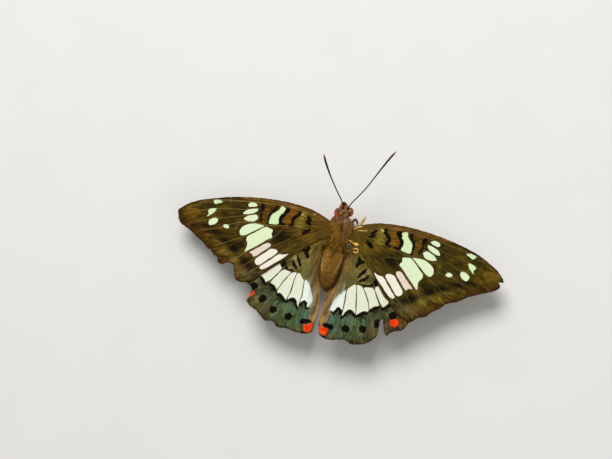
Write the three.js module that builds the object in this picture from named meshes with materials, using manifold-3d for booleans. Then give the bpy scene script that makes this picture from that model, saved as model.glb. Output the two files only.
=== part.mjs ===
// Life-size model of a brush-footed butterfly at rest with its four wings spread flat.
// Millimetres, Z up, the head looks along -Y, the butterfly's own left side is +X.
import * as THREE from 'three';
import Module from 'manifold-3d';

const wasm = await Module();
wasm.setup();

// ---- driving sizes ----
const WING_THICK = 0.5;
const WING_HEIGHT = 6.2;
const WING_SLOPE = 0.10;
const WING_ARCH = 0.45;
const WING_SPAN_HALF = 38;
const FORE_DROP = 0.25;
const HIND_DROP = 1.1;
const FORE_TURN = 2.582;
const HIND_TURN = 1.908;
const FORE_HINGE = [2.6, -3.0];
const HIND_HINGE = [2.4, 0.0];
const HIND_SHIFT = [0.14, -0.24];
const FOLD_DEPTH = 2.0;
const FOLD_MIDDLE = 0.8;
const FOLD_IN = 2.5;
const FOLD_OUT = 4.4;
const THORAX = { x: 0.2, front: -4.15, rear: 3.55, z: 5.1, wide: 2.5, tall: 2.3 };
const ABDOMEN = { x: 0.7, front: 3.85, rear: 13.1, z: 5.35, wide: 2.4, tall: 2.1, rings: 7 };
const ABDOMEN_RISE = 0.045;
const ABDOMEN_DRIFT = 0.045;
const HEAD = { x: 0.57, y: -5.7, z: 5.75, wide: 1.3, long: 1.25, tall: 1.25 };
const EYE = { out: 1.5, wide: 0.7, long: 0.95, tall: 1.05, turnY: 0.2 };
const GAP = 0.3;
const ANTENNA_R = 0.26;
const CLUB_R = 0.42;
const LEG_R = 0.34;
const TARSUS_R = 0.29;
const FOOT_Z = 0.21;
const CENTRE = [0.663, 1.688];

// ---- colours of the parts ----
const BROWN_FORE = 0x4b3b20;
const GREY_HIND = 0x7d7a66;
const TAN_HAIR = 0x7a5636;
const DARK_HAIR = 0x5a4028;
const RED_EYE = 0x5c1f14;
const RED_PALP = 0x6e2418;
const DARK_FEELER = 0x2e2219;
const LEG_TAN = 0x9a6238;

const radians = THREE.MathUtils.degToRad;
const group = new THREE.Group();
group.name = 'butterfly';

function material(color, roughness) {
  return new THREE.MeshStandardMaterial({ color, roughness, metalness: 0 });
}

function smoothstep(from, to, x) {
  const t = Math.min(1, Math.max(0, (x - from) / (to - from)));
  return t * t * (3 - 2 * t);
}

// A closed body from points and triangles, turned so that its faces point out.
function closedBody(points, triangles) {
  let volume = 0;
  const cross = new THREE.Vector3();
  for (const [a, b, c] of triangles) {
    volume += points[a].dot(cross.crossVectors(points[b], points[c]));
  }
  const index = [];
  for (const [a, b, c] of triangles) {
    index.push(a, volume > 0 ? b : c, volume > 0 ? c : b);
  }
  const flat = points.flatMap((p) => [p.x, p.y, p.z]);
  const geometry = new THREE.BufferGeometry();
  geometry.setAttribute('position', new THREE.Float32BufferAttribute(flat, 3));
  geometry.setIndex(index);
  return geometry;
}

function addPart(name, geometry, look) {
  const placed = geometry.clone();
  placed.translate(-CENTRE[0], -CENTRE[1], 0);
  placed.computeVertexNormals();
  const mesh = new THREE.Mesh(placed, look);
  mesh.name = name;
  group.add(mesh);
}

// Rings of points joined into a skin and closed at both ends by a middle point.
function loft(rings) {
  const n = rings[0].length;
  const points = rings.flat();
  const triangles = [];
  for (let k = 0; k + 1 < rings.length; k += 1) {
    for (let i = 0; i < n; i += 1) {
      const a = k * n + i;
      const b = k * n + (i + 1) % n;
      triangles.push([a, b, a + n], [b, b + n, a + n]);
    }
  }
  for (const k of [0, rings.length - 1]) {
    const middle = new THREE.Vector3();
    for (const p of rings[k]) {
      middle.addScaledVector(p, 1 / n);
    }
    points.push(middle);
    const m = points.length - 1;
    for (let i = 0; i < n; i += 1) {
      const a = k * n + i;
      const b = k * n + (i + 1) % n;
      triangles.push(k === 0 ? [b, a, m] : [a, b, m]);
    }
  }
  return closedBody(points, triangles);
}

// A round rod along a smooth path; its radius follows radiusAt(0..1).
// Nothing of it goes below the floor, so a rod lying there gets a flat underside.
function rod(waypoints, radiusAt, steps, sides) {
  const corners = waypoints.map((p) => new THREE.Vector3(...p));
  const path = new THREE.CatmullRomCurve3(corners, false, 'centripetal');
  const rings = [];
  let across = new THREE.Vector3(0, 0, 1);
  for (let k = 0; k <= steps; k += 1) {
    const t = k / steps;
    const centre = path.getPointAt(t);
    const along = path.getTangentAt(t);
    across = across.clone().addScaledVector(along, -across.dot(along));
    if (across.length() < 0.2) {
      across = new THREE.Vector3(1, 0, 0).addScaledVector(along, -along.x);
    }
    across.normalize();
    const side = new THREE.Vector3().crossVectors(along, across);
    const ring = [];
    for (let i = 0; i < sides; i += 1) {
      const turn = (i + 0.5) * 2 * Math.PI / sides;
      const p = centre.clone();
      p.addScaledVector(across, Math.cos(turn) * radiusAt(t));
      p.addScaledVector(side, Math.sin(turn) * radiusAt(t));
      p.z = Math.max(0, p.z);
      ring.push(p);
    }
    rings.push(ring);
  }
  return loft(rings);
}

// ---- wings ----
// A wing is drawn in its own flat frame: l outward from the body, r to the rear.
const FORE_COSTA = [
  [3.0, -2.2], [3.3, -3.0], [5.0, -3.85], [8.0, -4.8], [13.0, -5.3], [18.0, -5.15],
  [22.5, -4.6], [27.5, -3.6], [31.5, -2.35],
];
const FORE_INNER = [
  [18.5, 15.7], [16.5, 14.7], [15.0, 13.0], [12.3, 10.0], [9.5, 7.0], [6.5, 3.9], [4.2, 1.4], [3.0, -0.4],
];
// Worn outer edges with the bites and nicks of each wing, from the tip to the rear corner.
const FORE_MARGIN = {
  left: [
    [34.0, -1.5], [36.0, -0.5], [37.6, 0.7], [38.8, 2.2], [38.5, 3.1], [37.9, 4.4], [36.9, 5.35],
    [35.0, 6.1], [32.3, 7.6], [30.6, 8.5], [29.0, 9.7], [28.2, 9.9], [27.2, 10.8], [26.3, 11.2],
    [25.6, 12.3], [24.7, 12.65], [23.7, 12.0], [22.7, 11.85], [22.0, 12.2], [21.3, 13.6], [20.4, 15.4],
  ],
  right: [
    [34.0, -1.1], [36.0, 0.1], [37.2, 1.2], [37.95, 2.4], [36.9, 2.45], [37.4, 3.4], [37.2, 4.2],
    [36.2, 5.0], [34.0, 6.1], [31.0, 7.75], [29.3, 9.1], [27.0, 10.2], [25.8, 11.6], [24.7, 12.4],
    [23.2, 14.1], [21.5, 14.9], [20.3, 16.1],
  ],
};
const HIND_COSTA = [
  [3.3, 2.0], [3.6, 1.2], [5.5, 0.8], [8.0, 1.1], [11.5, 2.6], [15.0, 5.2], [18.0, 8.7], [20.0, 12.0],
];
// The inner edge runs beside the abdomen, which lies a little to the butterfly's left.
const HIND_INNER = {
  left: [
    [0.8, 22.6], [0.45, 21.0], [0.5, 18.5], [0.7, 16.0], [1.3, 14.4], [2.3, 12.8], [3.1, 10.6],
    [3.4, 7.5], [3.3, 5.0], [3.3, 3.4],
  ],
  right: [
    [0.8, 22.6], [0.45, 21.0], [0.35, 18.5], [0.35, 16.0], [0.45, 14.4], [0.8, 12.8], [1.5, 10.6],
    [1.9, 7.5], [2.3, 5.0], [3.1, 3.4],
  ],
};
const HIND_MARGIN = {
  left: [
    [20.2, 14.3], [19.2, 15.0], [18.2, 15.4], [17.0, 16.0], [16.2, 17.1], [16.8, 18.6], [17.0, 19.2],
    [16.0, 20.4], [14.0, 21.3], [12.1, 22.8], [11.2, 23.1], [9.7, 22.9], [8.3, 23.95], [6.5, 23.75],
    [4.0, 24.1], [2.0, 23.95], [1.0, 23.6],
  ],
  right: [
    [20.9, 14.3], [20.8, 15.4], [20.0, 16.3], [19.5, 17.5], [18.8, 18.6], [17.3, 19.2], [16.3, 19.9],
    [15.9, 20.5], [15.4, 20.3], [14.9, 19.2], [14.2, 16.9], [13.75, 17.3], [13.6, 18.5], [13.95, 20.5],
    [13.0, 22.2], [11.7, 23.3], [8.6, 24.15], [7.0, 23.5], [4.5, 24.1], [2.6, 24.25], [1.2, 23.5],
  ],
};

function smoothEdge(points, count) {
  const corners = points.map(([l, r]) => new THREE.Vector3(l, r, 0));
  const curve = new THREE.CatmullRomCurve3(corners, true, 'centripetal');
  return curve.getSpacedPoints(count).slice(0, count).map((p) => [p.x, p.y]);
}

function arch(x) {
  return WING_ARCH * Math.sin(Math.PI * Math.min(1, Math.abs(x) / WING_SPAN_HALF));
}

function foreHeight(x, y) {
  return WING_HEIGHT + WING_SLOPE * y + arch(x) - FORE_DROP;
}

// The hindwing lies under the forewing and dips beside the abdomen in a fold.
function hindHeight(x, y) {
  const near = 1 - smoothstep(FOLD_IN, FOLD_OUT, Math.abs(x - FOLD_MIDDLE));
  const along = smoothstep(1.5, 5, y) * (1 - smoothstep(8, 21, y));
  return WING_HEIGHT + WING_SLOPE * y + arch(x) - HIND_DROP - FOLD_DEPTH * near * along;
}

function wing({ outline, middle, hinge, turn, shift, side, heightAt, rings, count }) {
  const a = radians(turn) * -side;
  const place = ([l, r]) => {
    const dl = l - hinge[0];
    const dr = r - hinge[1];
    const x = hinge[0] + dl * Math.cos(a) - dr * Math.sin(a);
    const y = hinge[1] + dl * Math.sin(a) + dr * Math.cos(a);
    return [side * x + shift[0], y + shift[1]];
  };
  const rim = smoothEdge(outline, count);
  const flat = [place(middle)];
  for (let k = 1; k <= rings; k += 1) {
    const t = 1 - (1 - k / rings) ** 1.25;
    for (const [l, r] of rim) {
      flat.push(place([middle[0] + t * (l - middle[0]), middle[1] + t * (r - middle[1])]));
    }
  }
  const step = 0.05;
  const points = [];
  for (const half of [1, -1]) {
    for (const [x, y] of flat) {
      const normal = new THREE.Vector3(
        heightAt(x - step, y) - heightAt(x + step, y),
        heightAt(x, y - step) - heightAt(x, y + step),
        2 * step,
      ).normalize();
      const p = new THREE.Vector3(x, y, heightAt(x, y));
      points.push(p.addScaledVector(normal, half * WING_THICK / 2));
    }
  }
  const under = flat.length;
  const triangles = [];
  const both = (i, j, k) => {
    triangles.push([i, j, k], [under + k, under + j, under + i]);
  };
  for (let i = 0; i < count; i += 1) {
    const j = (i + 1) % count;
    both(0, 1 + i, 1 + j);
    for (let k = 0; k + 1 < rings; k += 1) {
      const inner = 1 + k * count;
      const outer = inner + count;
      both(inner + i, outer + i, outer + j);
      both(inner + i, outer + j, inner + j);
    }
    const last = 1 + (rings - 1) * count;
    triangles.push([last + i, under + last + i, under + last + j]);
    triangles.push([last + i, under + last + j, last + j]);
  }
  return closedBody(points, triangles);
}

for (const [name, side] of [['left', 1], ['right', -1]]) {
  const fore = wing({
    outline: [...FORE_COSTA, ...FORE_MARGIN[name], ...FORE_INNER],
    middle: [14, 0],
    hinge: FORE_HINGE,
    turn: FORE_TURN,
    shift: [0, 0],
    side,
    heightAt: foreHeight,
    rings: 3,
    count: 72,
  });
  addPart('forewing_' + name, fore, material(BROWN_FORE, 0.85));
  const hind = wing({
    outline: [...HIND_COSTA, ...HIND_MARGIN[name], ...HIND_INNER[name]],
    middle: [9.6, 3.2],
    hinge: HIND_HINGE,
    turn: HIND_TURN,
    shift: HIND_SHIFT,
    side,
    heightAt: hindHeight,
    rings: 5,
    count: 68,
  });
  addPart('hindwing_' + name, hind, material(GREY_HIND, 0.85));
}

// ---- thorax and abdomen ----
// Each is a row of upright oval rings along Y; sizes are shares of the greatest half-width.
function ovalBody({ stations, middleAt, front, rear, wide, tall, heightAt, sides }) {
  const rings = stations.map(([t, share]) => {
    const y = front + t * (rear - front);
    const ring = [];
    for (let i = 0; i < sides; i += 1) {
      const turn = i * 2 * Math.PI / sides;
      const x = middleAt(y) + share * wide * Math.cos(turn);
      ring.push(new THREE.Vector3(x, y, heightAt(y) + share * tall * Math.sin(turn)));
    }
    return ring;
  });
  return loft(rings);
}

const thoraxRings = [
  [0, 0.42], [0.05, 0.6], [0.13, 0.78], [0.25, 0.92], [0.4, 0.99], [0.55, 1], [0.7, 0.96],
  [0.83, 0.88], [0.93, 0.79], [1, 0.68],
];
addPart('thorax', ovalBody({
  stations: thoraxRings,
  middleAt: () => THORAX.x,
  front: THORAX.front,
  rear: THORAX.rear,
  wide: THORAX.wide,
  tall: THORAX.tall,
  heightAt: () => THORAX.z,
  sides: 24,
}), material(TAN_HAIR, 0.95));

// Seven plump rings of the abdomen, a little pinched where they meet.
function abdomenShare(t) {
  const taper = 0.72 + 0.28 * Math.sin(Math.PI * Math.min(1, t / 0.62) / 2);
  const tail = Math.sqrt(Math.max(0, 1 - ((t - 0.35) / 0.67) ** 2.6));
  return t < 0.35 ? taper : taper * tail;
}

const abdomenStations = [];
for (let k = 0; k <= 3 * ABDOMEN.rings; k += 1) {
  const t = k / (3 * ABDOMEN.rings);
  const pinch = k % 3 === 0 ? 0.95 : 1;
  abdomenStations.push([t, abdomenShare(t) * pinch]);
}
addPart('abdomen', ovalBody({
  stations: abdomenStations,
  middleAt: (y) => ABDOMEN.x + ABDOMEN_DRIFT * (y - ABDOMEN.front),
  front: ABDOMEN.front,
  rear: ABDOMEN.rear,
  wide: ABDOMEN.wide,
  tall: ABDOMEN.tall,
  heightAt: (y) => ABDOMEN.z + ABDOMEN_RISE * (y - ABDOMEN.front),
  sides: 20,
}), material(TAN_HAIR, 0.95));

// ---- head, eyes, palps and tongue ----
function ball(centre, half, turns, levels) {
  const geometry = new THREE.SphereGeometry(1, turns, levels);
  geometry.rotateX(Math.PI / 2);
  geometry.scale(half[0], half[1], half[2]);
  geometry.translate(centre[0], centre[1], centre[2]);
  return geometry;
}

function toManifold(geometry) {
  const key = new Map();
  const vertProperties = [];
  const triVerts = [];
  const position = geometry.getAttribute('position');
  const corners = geometry.index.array;
  for (let i = 0; i < corners.length; i += 3) {
    const triangle = [];
    for (let j = 0; j < 3; j += 1) {
      const p = new THREE.Vector3().fromBufferAttribute(position, corners[i + j]);
      const name = [p.x, p.y, p.z].map((v) => v.toFixed(5)).join(' ');
      if (!key.has(name)) {
        key.set(name, vertProperties.length / 3);
        vertProperties.push(p.x, p.y, p.z);
      }
      triangle.push(key.get(name));
    }
    if (new Set(triangle).size === 3) {
      triVerts.push(...triangle);
    }
  }
  return new wasm.Manifold(new wasm.Mesh({
    numProp: 3,
    vertProperties: new Float32Array(vertProperties),
    triVerts: new Uint32Array(triVerts),
  }));
}

function fromManifold(solid) {
  const mesh = solid.getMesh();
  const geometry = new THREE.BufferGeometry();
  geometry.setAttribute('position', new THREE.Float32BufferAttribute(mesh.vertProperties, 3));
  geometry.setIndex(Array.from(mesh.triVerts));
  return geometry;
}

const eyeCentres = {
  left: [HEAD.x + EYE.out, HEAD.y + EYE.turnY, HEAD.z],
  right: [HEAD.x - EYE.out, HEAD.y - EYE.turnY, HEAD.z],
};
const eyeHalf = [EYE.wide, EYE.long, EYE.tall];
const socketHalf = eyeHalf.map((v) => v + GAP);
let skull = toManifold(ball([HEAD.x, HEAD.y, HEAD.z], [HEAD.wide, HEAD.long, HEAD.tall], 20, 12));
for (const name of ['left', 'right']) {
  skull = skull.subtract(toManifold(ball(eyeCentres[name], socketHalf, 16, 10)));
  addPart('eye_' + name, ball(eyeCentres[name], eyeHalf, 16, 10), material(RED_EYE, 0.35));
}
addPart('head', fromManifold(skull), material(DARK_HAIR, 0.95));

for (const [name, side] of [['left', 1], ['right', -1]]) {
  const palp = rod([
    [0.57 + side * 0.62, -6.65, 4.35],
    [0.7 + side * 0.58, -7.2, 4.7],
    [0.9 + side * 0.48, -7.65, 5.2],
    [1.07 + side * 0.4, -8.1, 5.6],
  ], (t) => 0.36 - 0.14 * t ** 2, 8, 10);
  addPart('palp_' + name, palp, material(RED_PALP, 0.9));
}

// The tongue is coiled tight under the face, between the palps.
const tongue = new THREE.CylinderGeometry(0.62, 0.62, 0.5, 20);
tongue.rotateZ(Math.PI / 2);
tongue.translate(0.59, -6.65, 3.35);
addPart('proboscis', fromManifold(toManifold(tongue)), material(DARK_FEELER, 0.6));

// ---- antennae ----
const antennaPaths = {
  left: [
    [0.75, -6.8, 7.2], [1.01, -7.41, 8.71], [2.03, -8.74, 11.18], [3.52, -10.88, 14.65],
    [4.7, -13.05, 17.48], [5.38, -14.57, 18.6],
  ],
  right: [
    [-0.45, -6.75, 7.15], [-1.13, -7.84, 7.47], [-2.35, -9.44, 7.98], [-4.0, -11.8, 8.67],
    [-6.02, -15.39, 9.58], [-7.95, -18.6, 10.3], [-9.31, -20.6, 10.6],
  ],
};
function antennaRadius(t) {
  return ANTENNA_R + (CLUB_R - ANTENNA_R) * smoothstep(0.74, 0.92, t) - 0.16 * smoothstep(0.95, 1, t);
}
for (const name of ['left', 'right']) {
  addPart('antenna_' + name, rod(antennaPaths[name], antennaRadius, 20, 8), material(DARK_FEELER, 0.7));
}

// ---- legs ----
// Each walking leg goes hip, knee, ankle, foot; the foot lies flat on the floor.
const walkingLegs = {
  midleg_right: [
    [-1.7, -1.2, 2.5], [-3.4, -1.9, 3.7], [-4.9, -2.6, 4.05], [-4.1, -3.6, 2.7], [-2.9, -4.3, 1.1],
    [-2.95, -5.2, FOOT_Z], [-3.65, -6.9, FOOT_Z],
  ],
  midleg_left: [
    [2.0, -1.2, 2.5], [3.8, -1.7, 3.7], [5.6, -2.2, 4.05], [6.0, -2.7, 2.7], [6.1, -3.1, 1.1],
    [6.2, -3.5, FOOT_Z], [6.6, -5.1, FOOT_Z],
  ],
  hindleg_right: [
    [-1.6, 2.0, 2.5], [-3.9, 3.9, 3.5], [-6.0, 5.6, 4.05], [-6.9, 7.4, 2.8], [-7.5, 8.8, 1.1],
    [-7.7, 9.7, FOOT_Z], [-8.2, 11.6, FOOT_Z],
  ],
  hindleg_left: [
    [1.9, 2.0, 2.5], [4.2, 3.9, 3.5], [6.3, 5.6, 4.05], [7.2, 7.4, 2.8], [7.8, 8.8, 1.1],
    [8.0, 9.7, FOOT_Z], [8.5, 11.6, FOOT_Z],
  ],
};
function legRadius(t) {
  return LEG_R - (LEG_R - TARSUS_R) * smoothstep(0.45, 0.75, t);
}
for (const [name, path] of Object.entries(walkingLegs)) {
  addPart(name, rod(path, legRadius, 17, 8), material(LEG_TAN, 0.7));
}

// The two front legs are short brushes, folded up beside the neck.
const brushLegs = {
  foreleg_right: [
    [-1.8, -3.45, 3.75], [-2.1, -4.15, 4.6], [-2.45, -4.8, 5.05], [-2.95, -4.3, 4.95], [-3.2, -3.6, 4.5],
  ],
  foreleg_left: [
    [2.15, -3.4, 3.55], [2.3, -4.2, 3.75], [2.2, -5.0, 3.6], [1.95, -5.8, 3.3],
  ],
};
for (const [name, path] of Object.entries(brushLegs)) {
  addPart(name, rod(path, (t) => 0.3 - 0.05 * t, 12, 8), material(LEG_TAN, 0.8));
}

export default group;
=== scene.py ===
# Life-size still model of a brush-footed butterfly at rest, its four worn wings spread flat.
import math

import bmesh
import bpy
import numpy as np
from mathutils import Matrix, Vector


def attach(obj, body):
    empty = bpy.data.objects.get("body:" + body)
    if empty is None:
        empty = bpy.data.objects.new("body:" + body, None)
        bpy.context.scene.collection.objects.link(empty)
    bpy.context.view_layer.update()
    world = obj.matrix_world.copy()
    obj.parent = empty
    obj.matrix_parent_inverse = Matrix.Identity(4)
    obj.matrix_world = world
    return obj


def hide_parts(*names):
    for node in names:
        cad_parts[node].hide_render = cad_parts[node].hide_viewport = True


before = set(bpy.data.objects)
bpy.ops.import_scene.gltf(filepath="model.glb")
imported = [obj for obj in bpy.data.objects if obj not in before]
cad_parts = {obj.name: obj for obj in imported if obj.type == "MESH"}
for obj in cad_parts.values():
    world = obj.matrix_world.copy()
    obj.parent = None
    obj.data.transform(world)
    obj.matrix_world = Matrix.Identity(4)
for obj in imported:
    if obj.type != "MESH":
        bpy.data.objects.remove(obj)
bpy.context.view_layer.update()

# ---------------------------------------------------------------------------------------
# Camera: looks down on the butterfly's back from high up, a little to its right and rear.
# Lengths of the butterfly are in millimetres from its thorax, x to its left, y to its
# rear, z up from the floor; the finished meshes are in metres about the footprint's middle.
MM = 0.001
MIDDLE = Vector((0.663, 1.688, 0.0))
TO_METRES = Matrix.Scale(MM, 4) @ Matrix.Translation(-MIDDLE)
CAMERA_AT = Vector((-43.89, 59.69, 255.55))
CAMERA_RIGHT = Vector((-0.96518, -0.21400, -0.15041))
CAMERA_BACK = Vector((-0.19916, 0.22847, 0.95296))

camera = bpy.data.objects.new("camera", bpy.data.cameras.new("camera"))
bpy.context.scene.collection.objects.link(camera)
camera.data.sensor_width = 36.0
camera.data.lens = 67.3
camera.data.clip_start = 0.005
camera.data.clip_end = 10.0
camera_up = CAMERA_BACK.cross(CAMERA_RIGHT)
camera.matrix_world = (
    Matrix.Translation(TO_METRES @ CAMERA_AT)
    @ Matrix((CAMERA_RIGHT, camera_up, CAMERA_BACK)).transposed().to_4x4()
)
bpy.context.scene.camera = camera
bpy.context.scene.view_settings.view_transform = "Standard"


# ---------------------------------------------------------------------------------------
# Floor and light: a plain pale board under a large soft lamp, with a low fill lamp and an
# even pale surround.
def daylight(red, green, blue):
    """A colour as the eye reads it (0 to 255) turned into amounts of light."""
    share = np.array((red, green, blue), dtype=float) / 255.0
    return np.where(share <= 0.04045, share / 12.92, ((share + 0.055) / 1.055) ** 2.4)


class Finish:
    """A surface finish mixed from a few node steps."""

    def __init__(self, name, roughness, specular=0.3):
        self.material = bpy.data.materials.new(name)
        self.material.use_nodes = True
        self.tree = self.material.node_tree
        self.surface = self.tree.nodes["Principled BSDF"]
        self.surface.inputs["Roughness"].default_value = roughness
        self.surface.inputs["Specular IOR Level"].default_value = specular

    def node(self, kind, **settings):
        """A new step of the finish, by the kind of its node."""
        made = self.tree.nodes.new("ShaderNode" + kind)
        for key, value in settings.items():
            setattr(made, key, value)
        return made

    def feed(self, socket, value):
        """Joins a step, a number or a colour to a socket."""
        if isinstance(value, bpy.types.NodeSocket):
            self.tree.links.new(value, socket)
        elif hasattr(value, "__len__") and len(value) == 3 and socket.type == "RGBA":
            socket.default_value = (*value, 1.0)
        else:
            socket.default_value = value

    def place(self):
        """Where each point of the surface lies on its piece."""
        return self.node("TexCoord").outputs["Object"]

    def field(self, name, output="Fac"):
        """The number, or with output Color the colour, that put_field kept on the mesh."""
        return self.node("Attribute", attribute_name=name).outputs[output]

    def noise(self, vector, scale, detail=3.0, roughness=0.55):
        made = self.node("TexNoise")
        self.feed(made.inputs["Vector"], vector)
        made.inputs["Scale"].default_value = scale
        made.inputs["Detail"].default_value = detail
        made.inputs["Roughness"].default_value = roughness
        return made.outputs["Fac"]

    def cells(self, vector, scale):
        """Distance to the middle of the nearest of many small cells."""
        made = self.node("TexVoronoi")
        self.feed(made.inputs["Vector"], vector)
        made.inputs["Scale"].default_value = scale
        return made.outputs["Distance"]

    def calc(self, operation, first, second):
        made = self.node("Math", operation=operation)
        self.feed(made.inputs[0], first)
        self.feed(made.inputs[1], second)
        return made.outputs[0]

    def swing(self, value, amount):
        """A noise value made to swing about zero by an amount."""
        return self.calc("MULTIPLY", self.calc("SUBTRACT", value, 0.5), amount)

    def stretch(self, vector, scale):
        made = self.node("Mapping")
        self.feed(made.inputs["Vector"], vector)
        made.inputs["Scale"].default_value = scale
        return made.outputs[0]

    def step(self, value, low, high, low_out=0.0, high_out=1.0):
        """A smooth rise from low_out to high_out while the value goes from low to high."""
        made = self.node("MapRange", interpolation_type="SMOOTHSTEP")
        self.feed(made.inputs["Value"], value)
        made.inputs["From Min"].default_value = low
        made.inputs["From Max"].default_value = high
        made.inputs["To Min"].default_value = low_out
        made.inputs["To Max"].default_value = high_out
        return made.outputs["Result"]

    def mix(self, share, first, second, way="MIX"):
        """The first colour turned into the second by a share."""
        made = self.node("Mix", data_type="RGBA", blend_type=way)
        self.feed(made.inputs[0], share)
        self.feed(made.inputs[6], first)
        self.feed(made.inputs[7], second)
        return made.outputs[2]

    def scaled(self, colour, amount):
        """A colour made lighter or darker by an amount."""
        grey = self.node("CombineColor")
        for socket in grey.inputs:
            self.feed(socket, amount)
        return self.mix(1.0, colour, grey.outputs[0], "MULTIPLY")

    def relief(self, height, distance, strength=1.0, under=None):
        """Fine bumps, laid over other bumps where under gives them."""
        made = self.node("Bump")
        made.inputs["Strength"].default_value = strength
        made.inputs["Distance"].default_value = distance
        self.feed(made.inputs["Height"], height)
        if under is not None:
            self.feed(made.inputs["Normal"], under)
        return made.outputs["Normal"]

    def wear(self, colour, normal=None):
        """Puts the colour and the relief on the surface, and hands over its material."""
        self.feed(self.surface.inputs["Base Color"], colour)
        if normal is not None:
            self.feed(self.surface.inputs["Normal"], normal)
        return self.material


def add_object(name, mesh, *materials):
    made = bpy.data.objects.new(name, mesh)
    for material in materials:
        mesh.materials.append(material)
    bpy.context.scene.collection.objects.link(made)
    return made


FLOOR_HALF = 1.5
KEY_LAMP = {"at": (0.10, -0.30, 0.55), "size": 0.42, "power": 3.3}
FILL_LAMP = {"at": (-0.45, 0.25, 0.30), "size": 0.50, "power": 0.6}
SURROUND = 0.34

board = bmesh.new()
bmesh.ops.create_grid(board, x_segments=1, y_segments=1, size=FLOOR_HALF)
floor_mesh = bpy.data.meshes.new("floor")
board.to_mesh(floor_mesh)
board.free()
board_finish = Finish("pale_board", 0.85, 0.2)
board_grain = board_finish.noise(board_finish.place(), 60.0, 4.0)
board_colour = board_finish.mix(board_grain, daylight(226, 224, 218), daylight(232, 230, 225))
floor = add_object("floor", floor_mesh, board_finish.wear(board_colour))

for lamp_name, lamp in (("key_lamp", KEY_LAMP), ("fill_lamp", FILL_LAMP)):
    light = bpy.data.objects.new(lamp_name, bpy.data.lights.new(lamp_name, "AREA"))
    light.data.shape = "DISK"
    light.data.size = lamp["size"]
    light.data.energy = lamp["power"]
    light.location = lamp["at"]
    light.rotation_euler = (-Vector(lamp["at"])).to_track_quat("-Z", "Y").to_euler()
    bpy.context.scene.collection.objects.link(light)

world = bpy.data.worlds.new("surround")
bpy.context.scene.world = world
world.use_nodes = True
world.node_tree.nodes["Background"].inputs["Color"].default_value = (0.96, 0.98, 1.0, 1.0)
world.node_tree.nodes["Background"].inputs["Strength"].default_value = SURROUND


# ---------------------------------------------------------------------------------------
# Forewings: stiff scaled membranes, brown, with whitish windows, black bars in the cell
# and worn outer edges. Each is drawn flat (l outward, r rearward, from the body's middle),
# then laid on the gently arched wing plane and turned about its hinge.
SIDES = {"left": 1, "right": -1}
WING_HEIGHT = 6.2
WING_SLOPE = 0.10
WING_ARCH = 0.45
WING_HALF = 38.0
MEMBRANE = 0.12
FORE_SINK = 0.08
FORE_COSTA = [
    (1.9, -1.8), (3.0, -3.0), (5.0, -3.85), (8.0, -4.8), (13.0, -5.3), (18.0, -5.15),
    (22.5, -4.6), (27.5, -3.6), (31.5, -2.35),
]
FORE_INNER = [
    (18.5, 15.7), (16.5, 14.7), (15.0, 13.0), (12.3, 10.0), (9.5, 7.0), (6.5, 3.9), (4.9, 2.35),
    (3.9, 1.5), (2.9, 0.95), (2.1, 0.5), (1.6, -0.5),
]
FORE_MARGIN = {
    "left": [
        (34.0, -1.5), (36.0, -0.5), (37.6, 0.7), (38.8, 2.2), (38.5, 3.1), (37.9, 4.4), (36.9, 5.35),
        (35.0, 6.1), (32.3, 7.6), (30.6, 8.5), (29.0, 9.7), (28.2, 9.9), (27.2, 10.8), (26.3, 11.2),
        (25.6, 12.3), (24.7, 12.65), (23.7, 12.0), (22.7, 11.85), (22.0, 12.2), (21.3, 13.6), (20.4, 15.4),
    ],
    "right": [
        (34.0, -1.1), (36.0, 0.1), (37.2, 1.2), (37.95, 2.4), (36.95, 2.7), (37.4, 3.4), (37.2, 4.2),
        (36.2, 5.0), (34.0, 6.1), (31.0, 7.75), (29.3, 9.1), (27.0, 10.2), (25.8, 11.6), (24.7, 12.4),
        (23.2, 14.1), (21.5, 14.9), (20.3, 16.1),
    ],
}
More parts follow.
